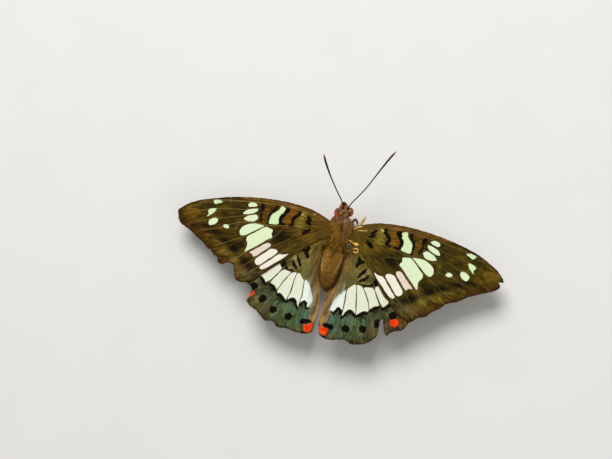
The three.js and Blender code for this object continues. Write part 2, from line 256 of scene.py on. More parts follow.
# Pale windows: a colour, then the corners of the soft outline.
GREENISH, MINT = daylight(226, 240, 196), daylight(214, 238, 182)
ROSY, CREAM = daylight(232, 214, 196), daylight(244, 238, 218)
FORE_WINDOWS = [
    (MINT, [(13.82, -3.81), (14.77, -3.98), (15.07, -3.04), (15.82, -2.2), (16.45, -1.46),
            (16.6, -0.39), (16.5, 0.76), (15.86, 0.75), (14.28, 0.33), (14.49, -0.67),
            (14.39, -1.65), (13.67, -2.38), (13.42, -3.11)]),
    (GREENISH, [(20.4, -2.85), (20.9, -3.4), (21.9, -3.4), (22.55, -2.8), (22.3, -2.2), (21.7, -2.25)]),
    (GREENISH, [(19.9, -2.0), (20.3, -2.3), (21.4, -1.9), (22.6, -1.2), (23.1, -0.3), (22.2, -0.3),
                (20.9, -0.8), (20.1, -1.4)]),
    (GREENISH, [(19.3, 0.0), (19.9, -0.6), (21.0, -0.4), (21.9, 0.1), (22.6, 0.9), (21.8, 1.25),
                (20.2, 1.1), (19.6, 0.6)]),
    (GREENISH, [(17.3, 1.7), (18.5, 1.45), (20.0, 1.55), (21.5, 2.2), (22.4, 3.1), (22.6, 4.3),
                (22.0, 5.0), (21.5, 4.9), (20.0, 4.0), (18.6, 2.9)]),
    (GREENISH, [(15.1, 2.1), (16.2, 1.8), (17.0, 1.75), (18.2, 2.75), (19.4, 3.9), (20.5, 5.0),
                (20.4, 5.9), (20.0, 6.5), (19.9, 7.5), (20.0, 8.55), (18.8, 7.6), (17.2, 6.1),
                (15.8, 4.7), (14.8, 3.8), (15.2, 3.0)]),
    (ROSY, [(14.5, 5.8), (14.8, 5.4), (15.7, 5.45), (16.9, 6.6), (18.1, 7.7), (18.95, 8.6), (18.1, 8.8),
            (17.75, 9.3), (17.0, 8.8), (15.6, 7.3)]),
    (CREAM, [(12.4, 6.9), (12.9, 6.5), (14.3, 6.6), (15.2, 7.6), (16.4, 8.9), (17.1, 10.0), (16.6, 10.9),
            (15.8, 10.9), (14.8, 9.8), (13.3, 8.2)]),
    (CREAM, [(9.7, 6.8), (10.6, 7.2), (12.2, 7.5), (13.0, 8.5), (14.6, 10.2), (15.6, 11.4), (15.2, 11.8),
             (14.2, 11.4), (12.4, 9.7), (10.8, 8.2)]),
    (MINT, [(28.7, -2.0), (29.5, -2.25), (30.9, -1.9), (30.3, -1.1), (29.6, -1.45)]),
    (MINT, [(29.6, 0.1), (30.2, -0.05), (31.4, 0.6), (31.35, 1.1), (31.1, 1.4), (31.3, 2.3),
            (30.6, 1.7), (30.0, 1.0)]),
    (GREENISH, [(28.4, 2.5), (29.0, 2.15), (29.8, 2.4), (30.5, 3.2), (30.1, 4.15), (29.4, 4.0), (28.7, 3.5)]),
    (GREENISH, [(25.3, 3.7), (26.0, 3.1), (26.8, 3.5), (26.5, 4.0), (25.6, 4.05)]),
]
# Black bars: points of the line that each follows, with half its width there.
FORE_BARS = [
    [(7.65, -2.8, 0.32), (7.25, -2.35, 0.44), (6.95, -1.95, 0.34)],
    [(7.5, -1.65, 0.36), (6.75, -1.15, 0.4)],
    [(6.4, 0.08, 0.3), (7.05, 0.66, 0.5), (7.55, 1.2, 0.46)],
    [(9.79, -3.51, 0.42), (10.05, -2.7, 0.38), (10.71, -2.04, 0.42), (11.17, -1.46, 0.36),
     (10.82, -0.6, 0.38), (10.96, -0.09, 0.4), (11.64, 0.12, 0.28)],
    [(12.95, -3.4, 0.6), (13.45, -2.4, 0.5), (14.0, -1.55, 0.42), (14.02, -0.6, 0.38),
     (13.55, 0.12, 0.36), (12.75, 0.14, 0.26)],
    [(15.75, -3.74, 0.34), (16.02, -2.92, 0.3), (16.63, -1.94, 0.26), (16.98, -1.12, 0.24),
     (16.92, -0.21, 0.22), (16.88, 0.91, 0.18)],
    [(19.2, -3.3, 0.34), (18.8, -2.6, 0.38), (18.95, -1.8, 0.26)],
    [(19.05, -1.3, 0.22), (18.72, -0.5, 0.3), (18.4, 0.6, 0.2)],
]
# Veins: width at the root and at the end, then the line that each follows.
FORE_VEINS = [
    (0.20, 0.13, [(2.4, -1.5), (4.5, -1.15), (8.0, -0.6), (12.0, 0.35), (16.5, 1.25), (20.0, 1.35),
                  (23.5, 2.1), (28.0, 4.5), (33.6, 6.5)]),
    (0.24, 0.12, [(2.4, -2.2), (5.0, -3.1), (9.0, -3.85), (13.5, -4.25), (19.0, -3.85), (25.0, -3.15),
                  (32.0, -1.7), (36.0, 0.3)]),
    (0.20, 0.11, [(2.6, -2.4), (6.0, -3.7), (11.0, -4.6), (17.0, -4.7), (23.0, -4.1)]),
    (0.13, 0.13, [(18.2, -3.9), (19.4, -3.4), (20.5, -3.65), (23.0, -3.3), (28.0, -2.35), (33.0, -0.8),
                  (37.0, 1.4)]),
    (0.12, 0.13, [(19.0, -3.3), (19.4, -2.5), (21.0, -2.1), (23.2, -1.3), (28.0, -0.5), (32.0, 0.6),
                  (36.6, 2.9)]),
    (0.12, 0.14, [(19.0, -1.9), (19.0, -0.9), (20.4, -0.7), (22.6, 0.15), (27.0, 1.6), (31.2, 3.2),
                  (35.8, 5.0)]),
    (0.13, 0.14, [(15.6, 1.05), (17.15, 1.75), (19.2, 3.35), (21.6, 5.3), (25.0, 7.4), (28.4, 9.5)]),
    (0.14, 0.14, [(12.4, 0.5), (13.8, 2.9), (15.4, 4.95), (17.1, 6.45), (18.7, 7.75), (20.2, 9.2),
                  (22.2, 11.2), (23.8, 12.0)]),
    (0.10, 0.12, [(8.5, 1.6), (11.5, 4.1), (14.8, 6.65), (16.2, 8.1), (17.6, 9.9), (20.5, 13.4)]),
    (0.14, 0.12, [(2.5, -1.0), (6.0, 2.2), (12.0, 7.3), (13.8, 8.9), (15.9, 11.3), (19.4, 15.3)]),
    (0.16, 0.05, [(2.6, -1.4), (5.0, 0.4), (8.0, 2.6), (11.0, 4.8)]),
    (0.14, 0.05, [(2.4, -1.9), (4.4, -1.9), (7.0, -1.6), (9.2, -1.3)]),
]
BLACK = daylight(14, 10, 5)
VEIN_GOLD, VEIN_BROWN = daylight(178, 146, 82), daylight(46, 34, 13)
FORE_GROUND = daylight(68, 53, 12)
# How much red, green and blue each forewing's brown keeps: the left one redder, the right one greener.
FORE_WARMTH = {"left": (0.92, 0.86, 0.72), "right": (0.9, 0.93, 0.74)}
# Soft patches on the brown ground: a colour, then each patch's middle and reach.
FORE_SHADES = [
    (daylight(102, 78, 24), [(3.5, -1.5, 2.5, 1.9), (6.5, 1.5, 2.6, 1.3)]),
    (daylight(72, 50, 10), [(2.6, -0.9, 2.2, 2.0)]),
    (daylight(84, 68, 20), [(7.3, -1.8, 2.0, 1.3)]),
    (daylight(142, 122, 46), [(8.9, -2.3, 0.8, 1.3), (9.1, -0.6, 0.8, 0.8)]),
    (daylight(78, 63, 18), [(9.0, 4.0, 3.0, 2.0), (27.5, 0.6, 3.0, 1.2)]),
    (daylight(34, 28, 9), [(12.8, 3.2, 2.2, 1.6), (10.5, 3.0, 1.5, 0.9), (17.4, 12.6, 1.2, 0.9)]),
    (daylight(122, 82, 22), [(12.2, -1.5, 0.9, 1.7), (11.6, -3.2, 0.8, 0.8)]),
    (daylight(104, 72, 24), [(17.8, -1.6, 0.6, 2.3)]),
    (daylight(98, 66, 22), [(12.0, -4.8, 6.5, 0.5), (22.0, -4.2, 5.0, 0.45)]),
    (daylight(152, 108, 58), [(11.8, -4.35, 1.6, 0.14), (6.0, -2.75, 1.6, 0.14), (15.2, -4.6, 0.9, 0.12)]),
    (daylight(46, 38, 12), [(23.6, -1.5, 2.2, 1.2), (25.5, 2.6, 2.2, 0.9), (31.2, -0.6, 1.2, 0.8)]),
    (daylight(104, 90, 36), [(23.6, 2.9, 0.35, 1.1), (26.9, 7.7, 1.1, 0.5), (29.8, 6.3, 0.9, 0.4)]),
    (daylight(122, 106, 40), [(24.3, 9.5, 1.4, 0.75), (21.9, 10.9, 0.8, 0.7)]),
    (daylight(116, 90, 24), [(35.3, 1.9, 1.5, 1.0), (33.6, 3.4, 0.9, 0.6)]),
    (daylight(68, 42, 8), [(35.0, 4.4, 2.2, 0.9), (31.3, 6.4, 2.3, 0.8), (27.8, 8.8, 1.9, 0.7),
                            (24.8, 11.3, 1.6, 0.7)]),
    (daylight(110, 84, 46), [(20.4, 13.4, 1.2, 1.1), (19.0, 12.9, 0.7, 0.7)]),
    (daylight(116, 92, 36), [(20.2, 8.9, 0.8, 0.7)]),
    (daylight(80, 76, 50), [(18.3, 13.6, 1.3, 1.0), (16.6, 12.6, 0.8, 0.7)]),
    (daylight(60, 32, 14), [(22.6, 14.0, 1.6, 0.5), (25.6, 11.7, 1.0, 0.4)]),
]
# Sooty smudges over the ground: each one's middle, reach and strength.
FORE_SMUDGES = [
    (19.2, 11.0, 1.3, 0.9, 1.25), (22.6, 8.5, 1.5, 1.0, 1.25), (25.2, 7.1, 1.8, 0.8, 1.1),
    (28.2, 5.6, 2.0, 0.7, 0.85), (31.2, 4.4, 1.7, 0.6, 0.75), (33.4, 3.0, 1.3, 0.6, 0.45),
    (21.2, 7.2, 0.9, 0.8, 0.9), (17.7, 11.9, 1.1, 0.7, 0.7), (19.35, -2.7, 0.4, 0.7, 1.0),
    (12.7, 3.7, 1.8, 1.1, 0.85), (24.2, 0.6, 1.6, 0.6, 0.5),
]
# Pale streaks on each forewing's front edge near the root, and one faint pale line further out on the right.
FORE_PALE_LINES = {
    "left": [[(7.0, -3.8, 0.1), (7.3, -3.85, 0.1)], [(9.7, -3.15, 0.13), (9.95, -3.1, 0.13)]],
    "right": [[(2.5, -2.15, 0.1), (3.5, -2.85, 0.17), (4.3, -3.15, 0.12)],
              [(3.7, -2.05, 0.1), (5.6, -2.4, 0.1)], [(8.9, -3.3, 0.14), (9.3, -3.2, 0.14)],
              [(10.5, 3.04, -0.02), (12.5, 2.6, -0.03), (14.6, 2.4, -0.02)]],
}


def flowing(points, steps, closed):
    """A smooth line through the points, with this many steps from each to the next."""
    corners = np.array(points, dtype=float)
    count = len(corners) if closed else len(corners) - 1
    if closed:
        corners = np.vstack((corners[-1], corners, corners[:2]))
    else:
        corners = np.vstack((2 * corners[0] - corners[1], corners, 2 * corners[-1] - corners[-2]))
    line = []
    for i in range(count):
        p = corners[i:i + 4]
        gaps = np.sqrt(np.linalg.norm(np.diff(p, axis=0), axis=1))
        knot = np.concatenate(([0.0], np.cumsum(gaps)))
        t = np.linspace(knot[1], knot[2], steps, endpoint=False)[:, None]
        a = [((knot[k + 1] - t) * p[k] + (t - knot[k]) * p[k + 1]) / gaps[k] for k in range(3)]
        b = [((knot[k + 2] - t) * a[k] + (t - knot[k]) * a[k + 1]) / (knot[k + 2] - knot[k])
             for k in (0, 1)]
        line.append(((knot[2] - t) * b[0] + (t - knot[1]) * b[1]) / gaps[1])
    if not closed:
        line.append(corners[-2:-1])
    return np.vstack(line)


def evenly(line, count, closed):
    """The same line with its points set at equal distances."""
    track = np.vstack((line, line[:1])) if closed else line
    travel = np.concatenate(([0.0], np.cumsum(np.linalg.norm(np.diff(track, axis=0), axis=1))))
    at = np.linspace(0.0, travel[-1], count, endpoint=not closed)
    return np.stack([np.interp(at, travel, track[:, k]) for k in range(track.shape[1])], axis=1)


# Points worked out at a time, which keeps the memory small.
BATCH = 4000


def depth_on(points, line, half):
    """How deep each flat point lies in a stroke along a line, below zero outside it."""
    start, run = line[:-1], np.diff(line, axis=0)
    size = np.maximum((run ** 2).sum(axis=1), 1e-12)
    deepest = np.empty(len(points))
    for first in range(0, len(points), BATCH):
        part = points[first:first + BATCH, None, :] - start[None]
        along = np.clip((part * run).sum(axis=2) / size, 0.0, 1.0)
        away = np.linalg.norm(part - along[..., None] * run, axis=2)
        deepest[first:first + BATCH] = (half[:-1] + along * np.diff(half) - away).max(axis=1)
    return deepest


def depth_in(points, loop):
    """Distance to a closed loop's edge, above zero inside it and below zero outside."""
    after = np.roll(loop, -1, axis=0)
    inside = np.zeros(len(points), dtype=bool)
    for (x0, y0), (x1, y1) in zip(loop, after):
        if y0 != y1:
            crosses = (y0 > points[:, 1]) != (y1 > points[:, 1])
            inside ^= crosses & (points[:, 0] < x0 + (points[:, 1] - y0) * (x1 - x0) / (y1 - y0))
    away = -depth_on(points, np.vstack((loop, loop[:1])), np.zeros(len(loop) + 1))
    return np.where(inside, away, -away)


# Past this distance a mark has no say; and the steps of its outline between two corners.
MARK_FAR, MARK_STEPS = 1.5, 6


def marked(points, loops=(), strokes=()):
    """How deep each point lies in any of the loops or strokes, and the number of that mark."""
    depth = np.full(len(points), -MARK_FAR)
    which = np.zeros(len(points), dtype=int)
    marks = [(flowing(loop, MARK_STEPS, True), True) for loop in loops]
    marks += [(flowing(stroke, MARK_STEPS, False), False) for stroke in strokes]
    for number, (line, closed) in enumerate(marks):
        low, high = line[:, :2].min(axis=0) - MARK_FAR, line[:, :2].max(axis=0) + MARK_FAR
        near = np.nonzero(((points > low) & (points < high)).all(axis=1))[0]
        here = depth_in(points[near], line) if closed else depth_on(points[near], line[:, :2], line[:, 2])
        deeper = here > depth[near]
        depth[near[deeper]] = here[deeper]
        which[near[deeper]] = number
    return depth, which


def close_to(value, middle, reach):
    """One at the middle, fading softly to nothing past the reach."""
    return np.exp(-((value - middle) / reach) ** 2)


# How strongly the plain ground colour holds against the patches.
GROUND_WEIGHT = 0.22


def shaded(points, ground, shades):
    """Ground colour with broad soft patches laid over it."""
    colour = np.tile(ground * GROUND_WEIGHT, (len(points), 1))
    weight = np.full(len(points), GROUND_WEIGHT)
    for tone, patches in shades:
        for l, r, reach_l, reach_r in patches:
            share = close_to(points[:, 0], l, reach_l) * close_to(points[:, 1], r, reach_r)
            colour += share[:, None] * tone
            weight += share
    return colour / weight[:, None]


def smudged(points, ground, patches, share):
    """The same ground with soft sooty patches over it."""
    for l, r, reach_l, reach_r, strength in patches:
        near = close_to(points[:, 0], l, reach_l) * close_to(points[:, 1], r, reach_r)
        ground = blend(np.minimum(1.0, strength * near) * share, ground, BLACK)
    return ground


def ease(low, high, value):
    """Nothing below low, one above high, and a smooth rise between them."""
    share = np.clip((value - low) / (high - low), 0.0, 1.0)
    return share * share * (3 - 2 * share)


def blend(share, first, second):
    """The first colour turned into the second by a share for each place."""
    share = np.asarray(share)[..., None]
    return first * (1 - share) + second * share


def arch(x):
    """How far a wing rises in its middle, between body and tip."""
    return WING_ARCH * np.sin(np.pi * np.minimum(1.0, np.abs(x) / WING_HALF))


def smooth_mesh(form, name):
    """Ends a form measured in millimetres as a smooth mesh in metres."""
    form.transform(TO_METRES)
    mesh = bpy.data.meshes.new(name)
    form.to_mesh(mesh)
    form.free()
    mesh.shade_smooth()
    return mesh


def put_field(mesh, name, values):
    """Keeps a number, or a colour, for each vertex of a mesh."""
    values = np.asarray(values, dtype=np.float32)
    if values.ndim == 1:
        mesh.attributes.new(name, "FLOAT", "POINT").data.foreach_set("value", values)
    else:
        colour = np.column_stack((values, np.ones(len(values), dtype=np.float32)))
        mesh.attributes.new(name, "FLOAT_COLOR", "POINT").data.foreach_set("color", colour.ravel())


# Only the windows this near to the body are parted by the veins, not the spots at the tip.
PARTED_WITHIN = 24.0


class Wing:
    """One wing: its outline, its marks, and the way from wing measure to the body."""

    def __init__(self, side_name, slot, outline):
        self.side_name, self.side, self.slot = side_name, SIDES[side_name], slot
        self.outline = flowing(outline, 10, True)

    def lay(self, flat):
        """Wing measure to the body's x, y and z, on the wing's upper face."""
        angle = -self.side * self.turn
        dl, dr = flat[:, 0] - self.hinge[0], flat[:, 1] - self.hinge[1]
        x = self.hinge[0] + dl * math.cos(angle) - dr * math.sin(angle)
        y = self.hinge[1] + dl * math.sin(angle) + dr * math.cos(angle)
        x, y = self.side * x + self.shift[0], y + self.shift[1]
        return np.column_stack((x, y, self.height(x, y)))

    def unlay(self, places):
        """The body's x and y back to wing measure."""
        angle = self.side * self.turn
        dl = self.side * (places[:, 0] - self.shift[0]) - self.hinge[0]
        dr = places[:, 1] - self.shift[1] - self.hinge[1]
        return np.column_stack((
            self.hinge[0] + dl * math.cos(angle) - dr * math.sin(angle),
            self.hinge[1] + dl * math.sin(angle) + dr * math.cos(angle),
        ))

    def edge_gap(self, flat):
        """Distance to the wing's outer line."""
        loop = np.vstack((self.outline, self.outline[:1]))
        return -depth_on(flat, loop, np.zeros(len(loop)))

    def parted(self, here, window, veins):
        """Windows end on both sides of a vein, so the ground shows as a line between them."""
        lines = [[(*place, 0.0) for place in line] for _, _, line in veins]
        cut = np.minimum(window, -marked(here, strokes=lines)[0] - self.vein_gap)
        return np.where(here[:, 0] < PARTED_WITHIN, cut, window)

    def tone(self, flat):
        """The one colour that the marks give each place."""
        known = self.marks(flat)
        colour = blend(ease(-0.05, 0.08, known["window"]), known["ground"], known["pale"])
        colour = blend(ease(-0.05, 0.08, known["bar"]), colour, BLACK)
        return blend(ease(-0.05, 0.08, known["spot"]), colour, EMBER)


class Forewing(Wing):
    hinge, turn, shift = (2.6, -3.0), math.radians(2.582), (0.0, 0.0)
    root, middle, vein_gap = (2.0, -1.6), (14.0, 0.0), 0.13
    vein_gold = {"left": 0.65, "right": 0.3}

    def height(self, x, y):
        return WING_HEIGHT + WING_SLOPE * y + arch(x) - FORE_SINK

    def slide(self, flat):
        """The left wing's marks lie a little further out than the right one's."""
        l = flat[:, 0]
        reach = (0.30 + 0.45 * (1 - ease(8.0, 16.5, l))) * ease(2.5, 6.0, l)
        return np.column_stack((reach, 0 * reach)) * (self.side > 0)

    def marks(self, flat):
        """Depth in window, bar and spot, with the window's and the ground's colour."""
        here = flat - self.slide(flat)
        whole, which = marked(here, [loop for _, loop in FORE_WINDOWS])
        window = self.parted(here, whole, FORE_VEINS)
        ground = smudged(here, shaded(here, FORE_GROUND, FORE_SHADES), FORE_SMUDGES, 0.97)
        ground = ground * FORE_WARMTH[self.side_name]
        pale_streaks = marked(flat, strokes=FORE_PALE_LINES[self.side_name])[0]
        ground = blend(ease(-0.12, 0.1, pale_streaks) * 0.85, ground, daylight(224, 182, 116))
        ground = blend(ease(-0.1, 0.2, whole) * 0.8, ground, VEIN_BROWN)
        outer = ease(20.0, 24.0, flat[:, 0] + flat[:, 1])
        rusty = (1 - ease(0.1, 0.5, self.edge_gap(flat))) * outer * 0.7
        return {
            "ground": blend(rusty, ground, daylight(52, 22, 12)),
            "window": window,
            "pale": np.array([colour for colour, _ in FORE_WINDOWS])[which],
            "bar": marked(here, strokes=FORE_BARS)[0],
            "spot": np.full(len(flat), -1.0),
        }


# Waves of wear around the whole edge and how deep each bites; the least turn between two
# spokes of the sheet, which keeps them apart where a notch runs back; and the welding gap.
EDGE_WAVES = (31, 53, 83, 131, 173, 229)
EDGE_WEAR = 0.018
LEAST_TURN = 0.0008
WELD = 1e-4


def worn_edge(outline, count, seed):
    """The wing's outline with fine ragged wear along it."""
    rim = evenly(outline, count, True)
    chance = np.random.default_rng(seed)
    around = np.arange(count) / count * 2 * np.pi
    nick = sum(EDGE_WEAR * np.sin(wave * around + chance.uniform(0, 6.28)) for wave in EDGE_WAVES)
    out = np.roll(rim, -1, axis=0) - np.roll(rim, 1, axis=0)
    out = np.stack((out[:, 1], -out[:, 0]), axis=1) / np.linalg.norm(out, axis=1)[:, None]
    return rim + out * nick[:, None]


# Streaks of scales run out from the root: this scales the turn about it against the distance.
FLOW_TURN = 10.0


def add_membrane(wing, around, deep):
    """A thin sheet that fans out from the wing's middle to its worn edge."""
    rim = worn_edge(wing.outline, around, len(wing.slot) + wing.side) - wing.middle
    least = np.arange(around) * LEAST_TURN
    turn = np.maximum.accumulate(np.unwrap(np.arctan2(rim[:, 1], rim[:, 0])) - least) + least
    reach = np.linalg.norm(rim, axis=1)
    wing.rim = wing.middle + np.column_stack((reach * np.cos(turn), reach * np.sin(turn)))
    sheet = bmesh.new()
    bmesh.ops.create_grid(sheet, x_segments=around, y_segments=deep, size=0.5)
    middle = np.array(wing.middle)
    for vert in sheet.verts:
        spoke = wing.rim[round((vert.co.x + 0.5) * around) % around]
        vert.co = (*(middle + (vert.co.y + 0.5) * (spoke - middle)), 0.0)
    bmesh.ops.remove_doubles(sheet, verts=sheet.verts, dist=WELD)
    sheet.verts.ensure_lookup_table()
    flat = np.array([vert.co[:2] for vert in sheet.verts])
    for vert, place in zip(sheet.verts, wing.lay(flat)):
        vert.co = place
    sheet.normal_update()
    if sum(face.normal.z for face in sheet.faces) < 0:
        bmesh.ops.reverse_faces(sheet, faces=sheet.faces)
    mesh = smooth_mesh(sheet, "membrane_" + wing.slot)
    for key, values in wing.marks(flat).items():
        put_field(mesh, key, values)
    reach = flat - np.array(wing.root)
    angle = np.arctan2(reach[:, 1], reach[:, 0])
    put_field(mesh, "flow", np.column_stack((angle * FLOW_TURN, np.linalg.norm(reach, axis=1), 0 * angle)))
    piece = add_object("membrane_" + wing.slot, mesh, scale_finish, under_finish)
    shell = piece.modifiers.new("membrane", "SOLIDIFY")
    shell.thickness = MEMBRANE * MM
    shell.offset = -1.0
    shell.material_offset = 1
    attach(piece, "root")
    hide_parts(wing.slot)


EMBER = daylight(226, 50, 14)


def wing_finish(name, underside):
    """Dusty scales in rows: ground tone, pale windows, black marks and orange spots."""
    finish = Finish(name, 0.75, 0.04)
    flow = finish.field("flow", "Color")
    place = finish.place()
    broad = finish.noise(finish.stretch(flow, (1.6, 0.3, 1.0)), 1.0, 3.0)
    streak = finish.noise(finish.stretch(flow, (5.0, 0.45, 1.0)), 1.0, 3.0, 0.6)
    hairline = finish.noise(finish.stretch(flow, (16.0, 0.9, 1.0)), 1.0, 4.0, 0.65)
    dust = finish.noise(place, 3800.0, 3.0, 0.7)
    blotch = finish.noise(place, 900.0, 4.0, 0.6)
    rows = finish.cells(place, 8200.0)

    shade = finish.calc("MULTIPLY", finish.step(broad, 0.3, 0.7, 0.62, 1.4),
                        finish.step(streak, 0.3, 0.7, 0.6, 1.4))
    shade = finish.calc("MULTIPLY", shade, finish.step(hairline, 0.3, 0.7, 0.6, 1.42))
    shade = finish.calc("MULTIPLY", shade, finish.step(dust, 0.25, 0.75, 0.74, 1.26))
    ground = finish.scaled(finish.field("ground", "Color"), shade)
    golden = finish.calc("MULTIPLY", finish.step(hairline, 0.54, 0.72), finish.step(streak, 0.4, 0.6))
    depth = finish.node("RGBToBW")
    finish.feed(depth.inputs[0], finish.field("ground", "Color"))
    lit = finish.step(depth.outputs[0], 0.008, 0.05, 0.06, 0.34)
    ground = finish.mix(finish.calc("MULTIPLY", golden, lit), ground, daylight(150, 116, 22))
    fleck = finish.calc("MULTIPLY", finish.step(dust, 0.66, 0.74), lit)
    ground = finish.mix(fleck, ground, daylight(148, 116, 38))

    pale_shade = finish.calc("MULTIPLY", finish.step(hairline, 0.25, 0.7, 0.84, 1.03),
                             finish.step(dust, 0.2, 0.8, 0.92, 1.05))
    pale = finish.scaled(finish.field("pale", "Color"), pale_shade)
    blush = finish.calc("MULTIPLY", finish.step(blotch, 0.5, 0.72),
                        finish.step(streak, 0.35, 0.6, 0.05, 0.32))
    pale = finish.mix(blush, pale, daylight(214, 192, 172))
    jitter = finish.calc("ADD", finish.swing(blotch, 0.2), finish.swing(dust, 0.16))
    torn = finish.noise(place, 2100.0, 2.0, 0.6)
    ragged = finish.calc("ADD", jitter, finish.swing(torn, 0.8))
    colour = finish.mix(finish.step(finish.calc("ADD", finish.field("window"), jitter), -0.05, 0.07),
                        ground, pale)
    colour = finish.mix(finish.step(finish.calc("ADD", finish.field("bar"), ragged), -0.1, 0.1),
                        colour, finish.scaled(BLACK, shade))
    ember = finish.mix(finish.step(blotch, 0.35, 0.65), daylight(214, 36, 12), daylight(238, 78, 20))
    colour = finish.mix(finish.step(finish.calc("ADD", finish.field("spot"), ragged), -0.08, 0.09),
                        colour, ember)
    if underside:
        colour = finish.mix(0.35, colour, daylight(150, 142, 112))
    relief = finish.relief(finish.calc("SUBTRACT", 1.0, rows), 0.00002, 0.35)
    relief = finish.relief(hairline, 0.00008, 0.5, relief)
    return finish.wear(colour, relief)


scale_finish = wing_finish("wing_scales", False)
under_finish = wing_finish("wing_scales_under", True)

vein_finish = Finish("wing_veins", 0.7, 0.06)
vein_streak = vein_finish.noise(vein_finish.place(), 2500.0, 3.0)
vein_shade = vein_finish.step(vein_streak, 0.3, 0.7, 0.7, 1.25)
vein_material = vein_finish.wear(
    vein_finish.scaled(vein_finish.field("ground", "Color"), vein_shade),
    vein_finish.relief(vein_streak, 0.00002, 0.5),
)
VEIN_STEPS, VEIN_AROUND = 80, 6
VEIN_RISE, VEIN_END = 0.1, 1 / 14


def add_veins(wing, veins):
    """Raised ribs along the wing's veins, tapering outward; each is a closed thin rod."""
    ribs = bmesh.new()
    for wide, narrow, line in veins:
        path = evenly(flowing(line, 10, False), VEIN_STEPS + 1, False)
        centre = wing.lay(path + wing.slide(path))
        centre[:, 2] -= MEMBRANE / 2
        run = np.gradient(centre, axis=0)
        beside = np.cross(run, (0.0, 0.0, 1.0))
        beside /= np.linalg.norm(beside, axis=1)[:, None]
        share = np.linspace(0, 1, VEIN_STEPS + 1)
        ends = np.clip(np.minimum(share, 1 - share) / VEIN_END, 0, 1)
        half = 0.5 * (wide + (narrow - wide) * share) * ends
        made = bmesh.ops.create_grid(ribs, x_segments=VEIN_STEPS, y_segments=VEIN_AROUND, size=0.5)["verts"]
        for vert in made:
            k = round((vert.co.x + 0.5) * VEIN_STEPS)
            turn = (vert.co.y + 0.5) * 2 * math.pi
            vert.co = centre[k] + half[k] * beside[k] * math.cos(turn)
            vert.co.z += VEIN_RISE * ends[k] * math.sin(turn)
    bmesh.ops.remove_doubles(ribs, verts=ribs.verts, dist=WELD)
    bmesh.ops.recalc_face_normals(ribs, faces=ribs.faces)
    ribs.verts.ensure_lookup_table()
    flat = wing.unlay(np.array([vert.co[:] for vert in ribs.verts]))
    known = wing.marks(flat)
    from_root = np.linalg.norm(flat - np.array(wing.root), axis=1)
    golden = wing.vein_gold[wing.side_name] * (0.5 + 0.5 * ease(7.0, 17.0, from_root))
    tone = blend(golden, known["ground"], VEIN_GOLD)
    crossing = np.where(flat[:, :1] < PARTED_WITHIN, VEIN_BROWN, known["pale"])
    tone = blend(ease(-0.25, 0.05, known["window"]), tone, crossing)
    tone = blend(ease(-0.1, 0.1, known["bar"]) * 0.85, tone, BLACK)
    mesh = smooth_mesh(ribs, "veins_" + wing.slot)
    put_field(mesh, "ground", tone)
    piece = add_object("veins_" + wing.slot, mesh, vein_material)
    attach(piece, "root")


FORE_AROUND, FORE_DEEP = 540, 88
wings = []
for side_name in SIDES:
    forewing = Forewing(side_name, "forewing_" + side_name, FORE_COSTA + FORE_MARGIN[side_name] + FORE_INNER)
    add_membrane(forewing, FORE_AROUND, FORE_DEEP)
    add_veins(forewing, FORE_VEINS)
    wings.append(forewing)


# ---------------------------------------------------------------------------------------
# Hindwings: softer rounded membranes under the forewings, whitish across the middle with
# a grey-green border, black spots and a few orange marks. Beside the abdomen each dips in a
# fold that passes under it.
HIND_SINK = 0.42
FOLD_DEPTH, FOLD_MIDDLE, FOLD_IN, FOLD_OUT = 2.9, 0.88, 1.7, 3.7
HIND_COSTA = [
    (1.6, 2.2), (2.1, 0.4), (3.6, -0.2), (5.5, 0.2), (8.0, 1.0), (11.5, 2.6), (15.0, 5.2), (18.0, 8.7),
    (20.0, 12.0),
]
HIND_INNER = {
    "left": [(0.6, 23.0), (0.55, 21.2), (0.6, 18.5), (0.95, 15.9), (1.55, 13.6), (1.9, 12.3), (2.0, 10.5),
             (2.0, 7.5), (1.8, 4.5)],
    "right": [(0.8, 22.6), (0.45, 21.0), (0.38, 18.5), (0.35, 15.8), (-0.1, 13.6), (-0.4, 12.0),
              (-0.4, 9.0), (0.0, 6.0), (0.8, 3.8)],
}
HIND_MARGIN = {
    "left": [
        (20.2, 14.3), (19.2, 15.0), (18.2, 15.4), (17.0, 16.0), (16.2, 17.1), (16.8, 18.6), (17.0, 19.2),
        (16.0, 20.4), (14.0, 21.3), (12.1, 22.8), (11.2, 23.1), (9.7, 22.9), (8.3, 23.95), (6.5, 23.75),
        (4.0, 24.1), (2.0, 23.95), (1.0, 23.6),
    ],
    "right": [
        (20.9, 14.3), (20.8, 15.4), (20.0, 16.3), (19.5, 17.5), (18.8, 18.6), (17.3, 19.2), (16.3, 19.9),
        (15.9, 20.5), (15.4, 20.3), (14.9, 19.2), (14.2, 16.9), (13.75, 17.3), (13.6, 18.5),
        (13.95, 20.5), (13.0, 22.2), (11.7, 23.3), (8.6, 24.15), (7.0, 23.5), (4.5, 24.1), (2.6, 24.25),
        (1.2, 23.5),
    ],
}
SNOW, IVORY = daylight(236, 244, 232), daylight(231, 234, 208)
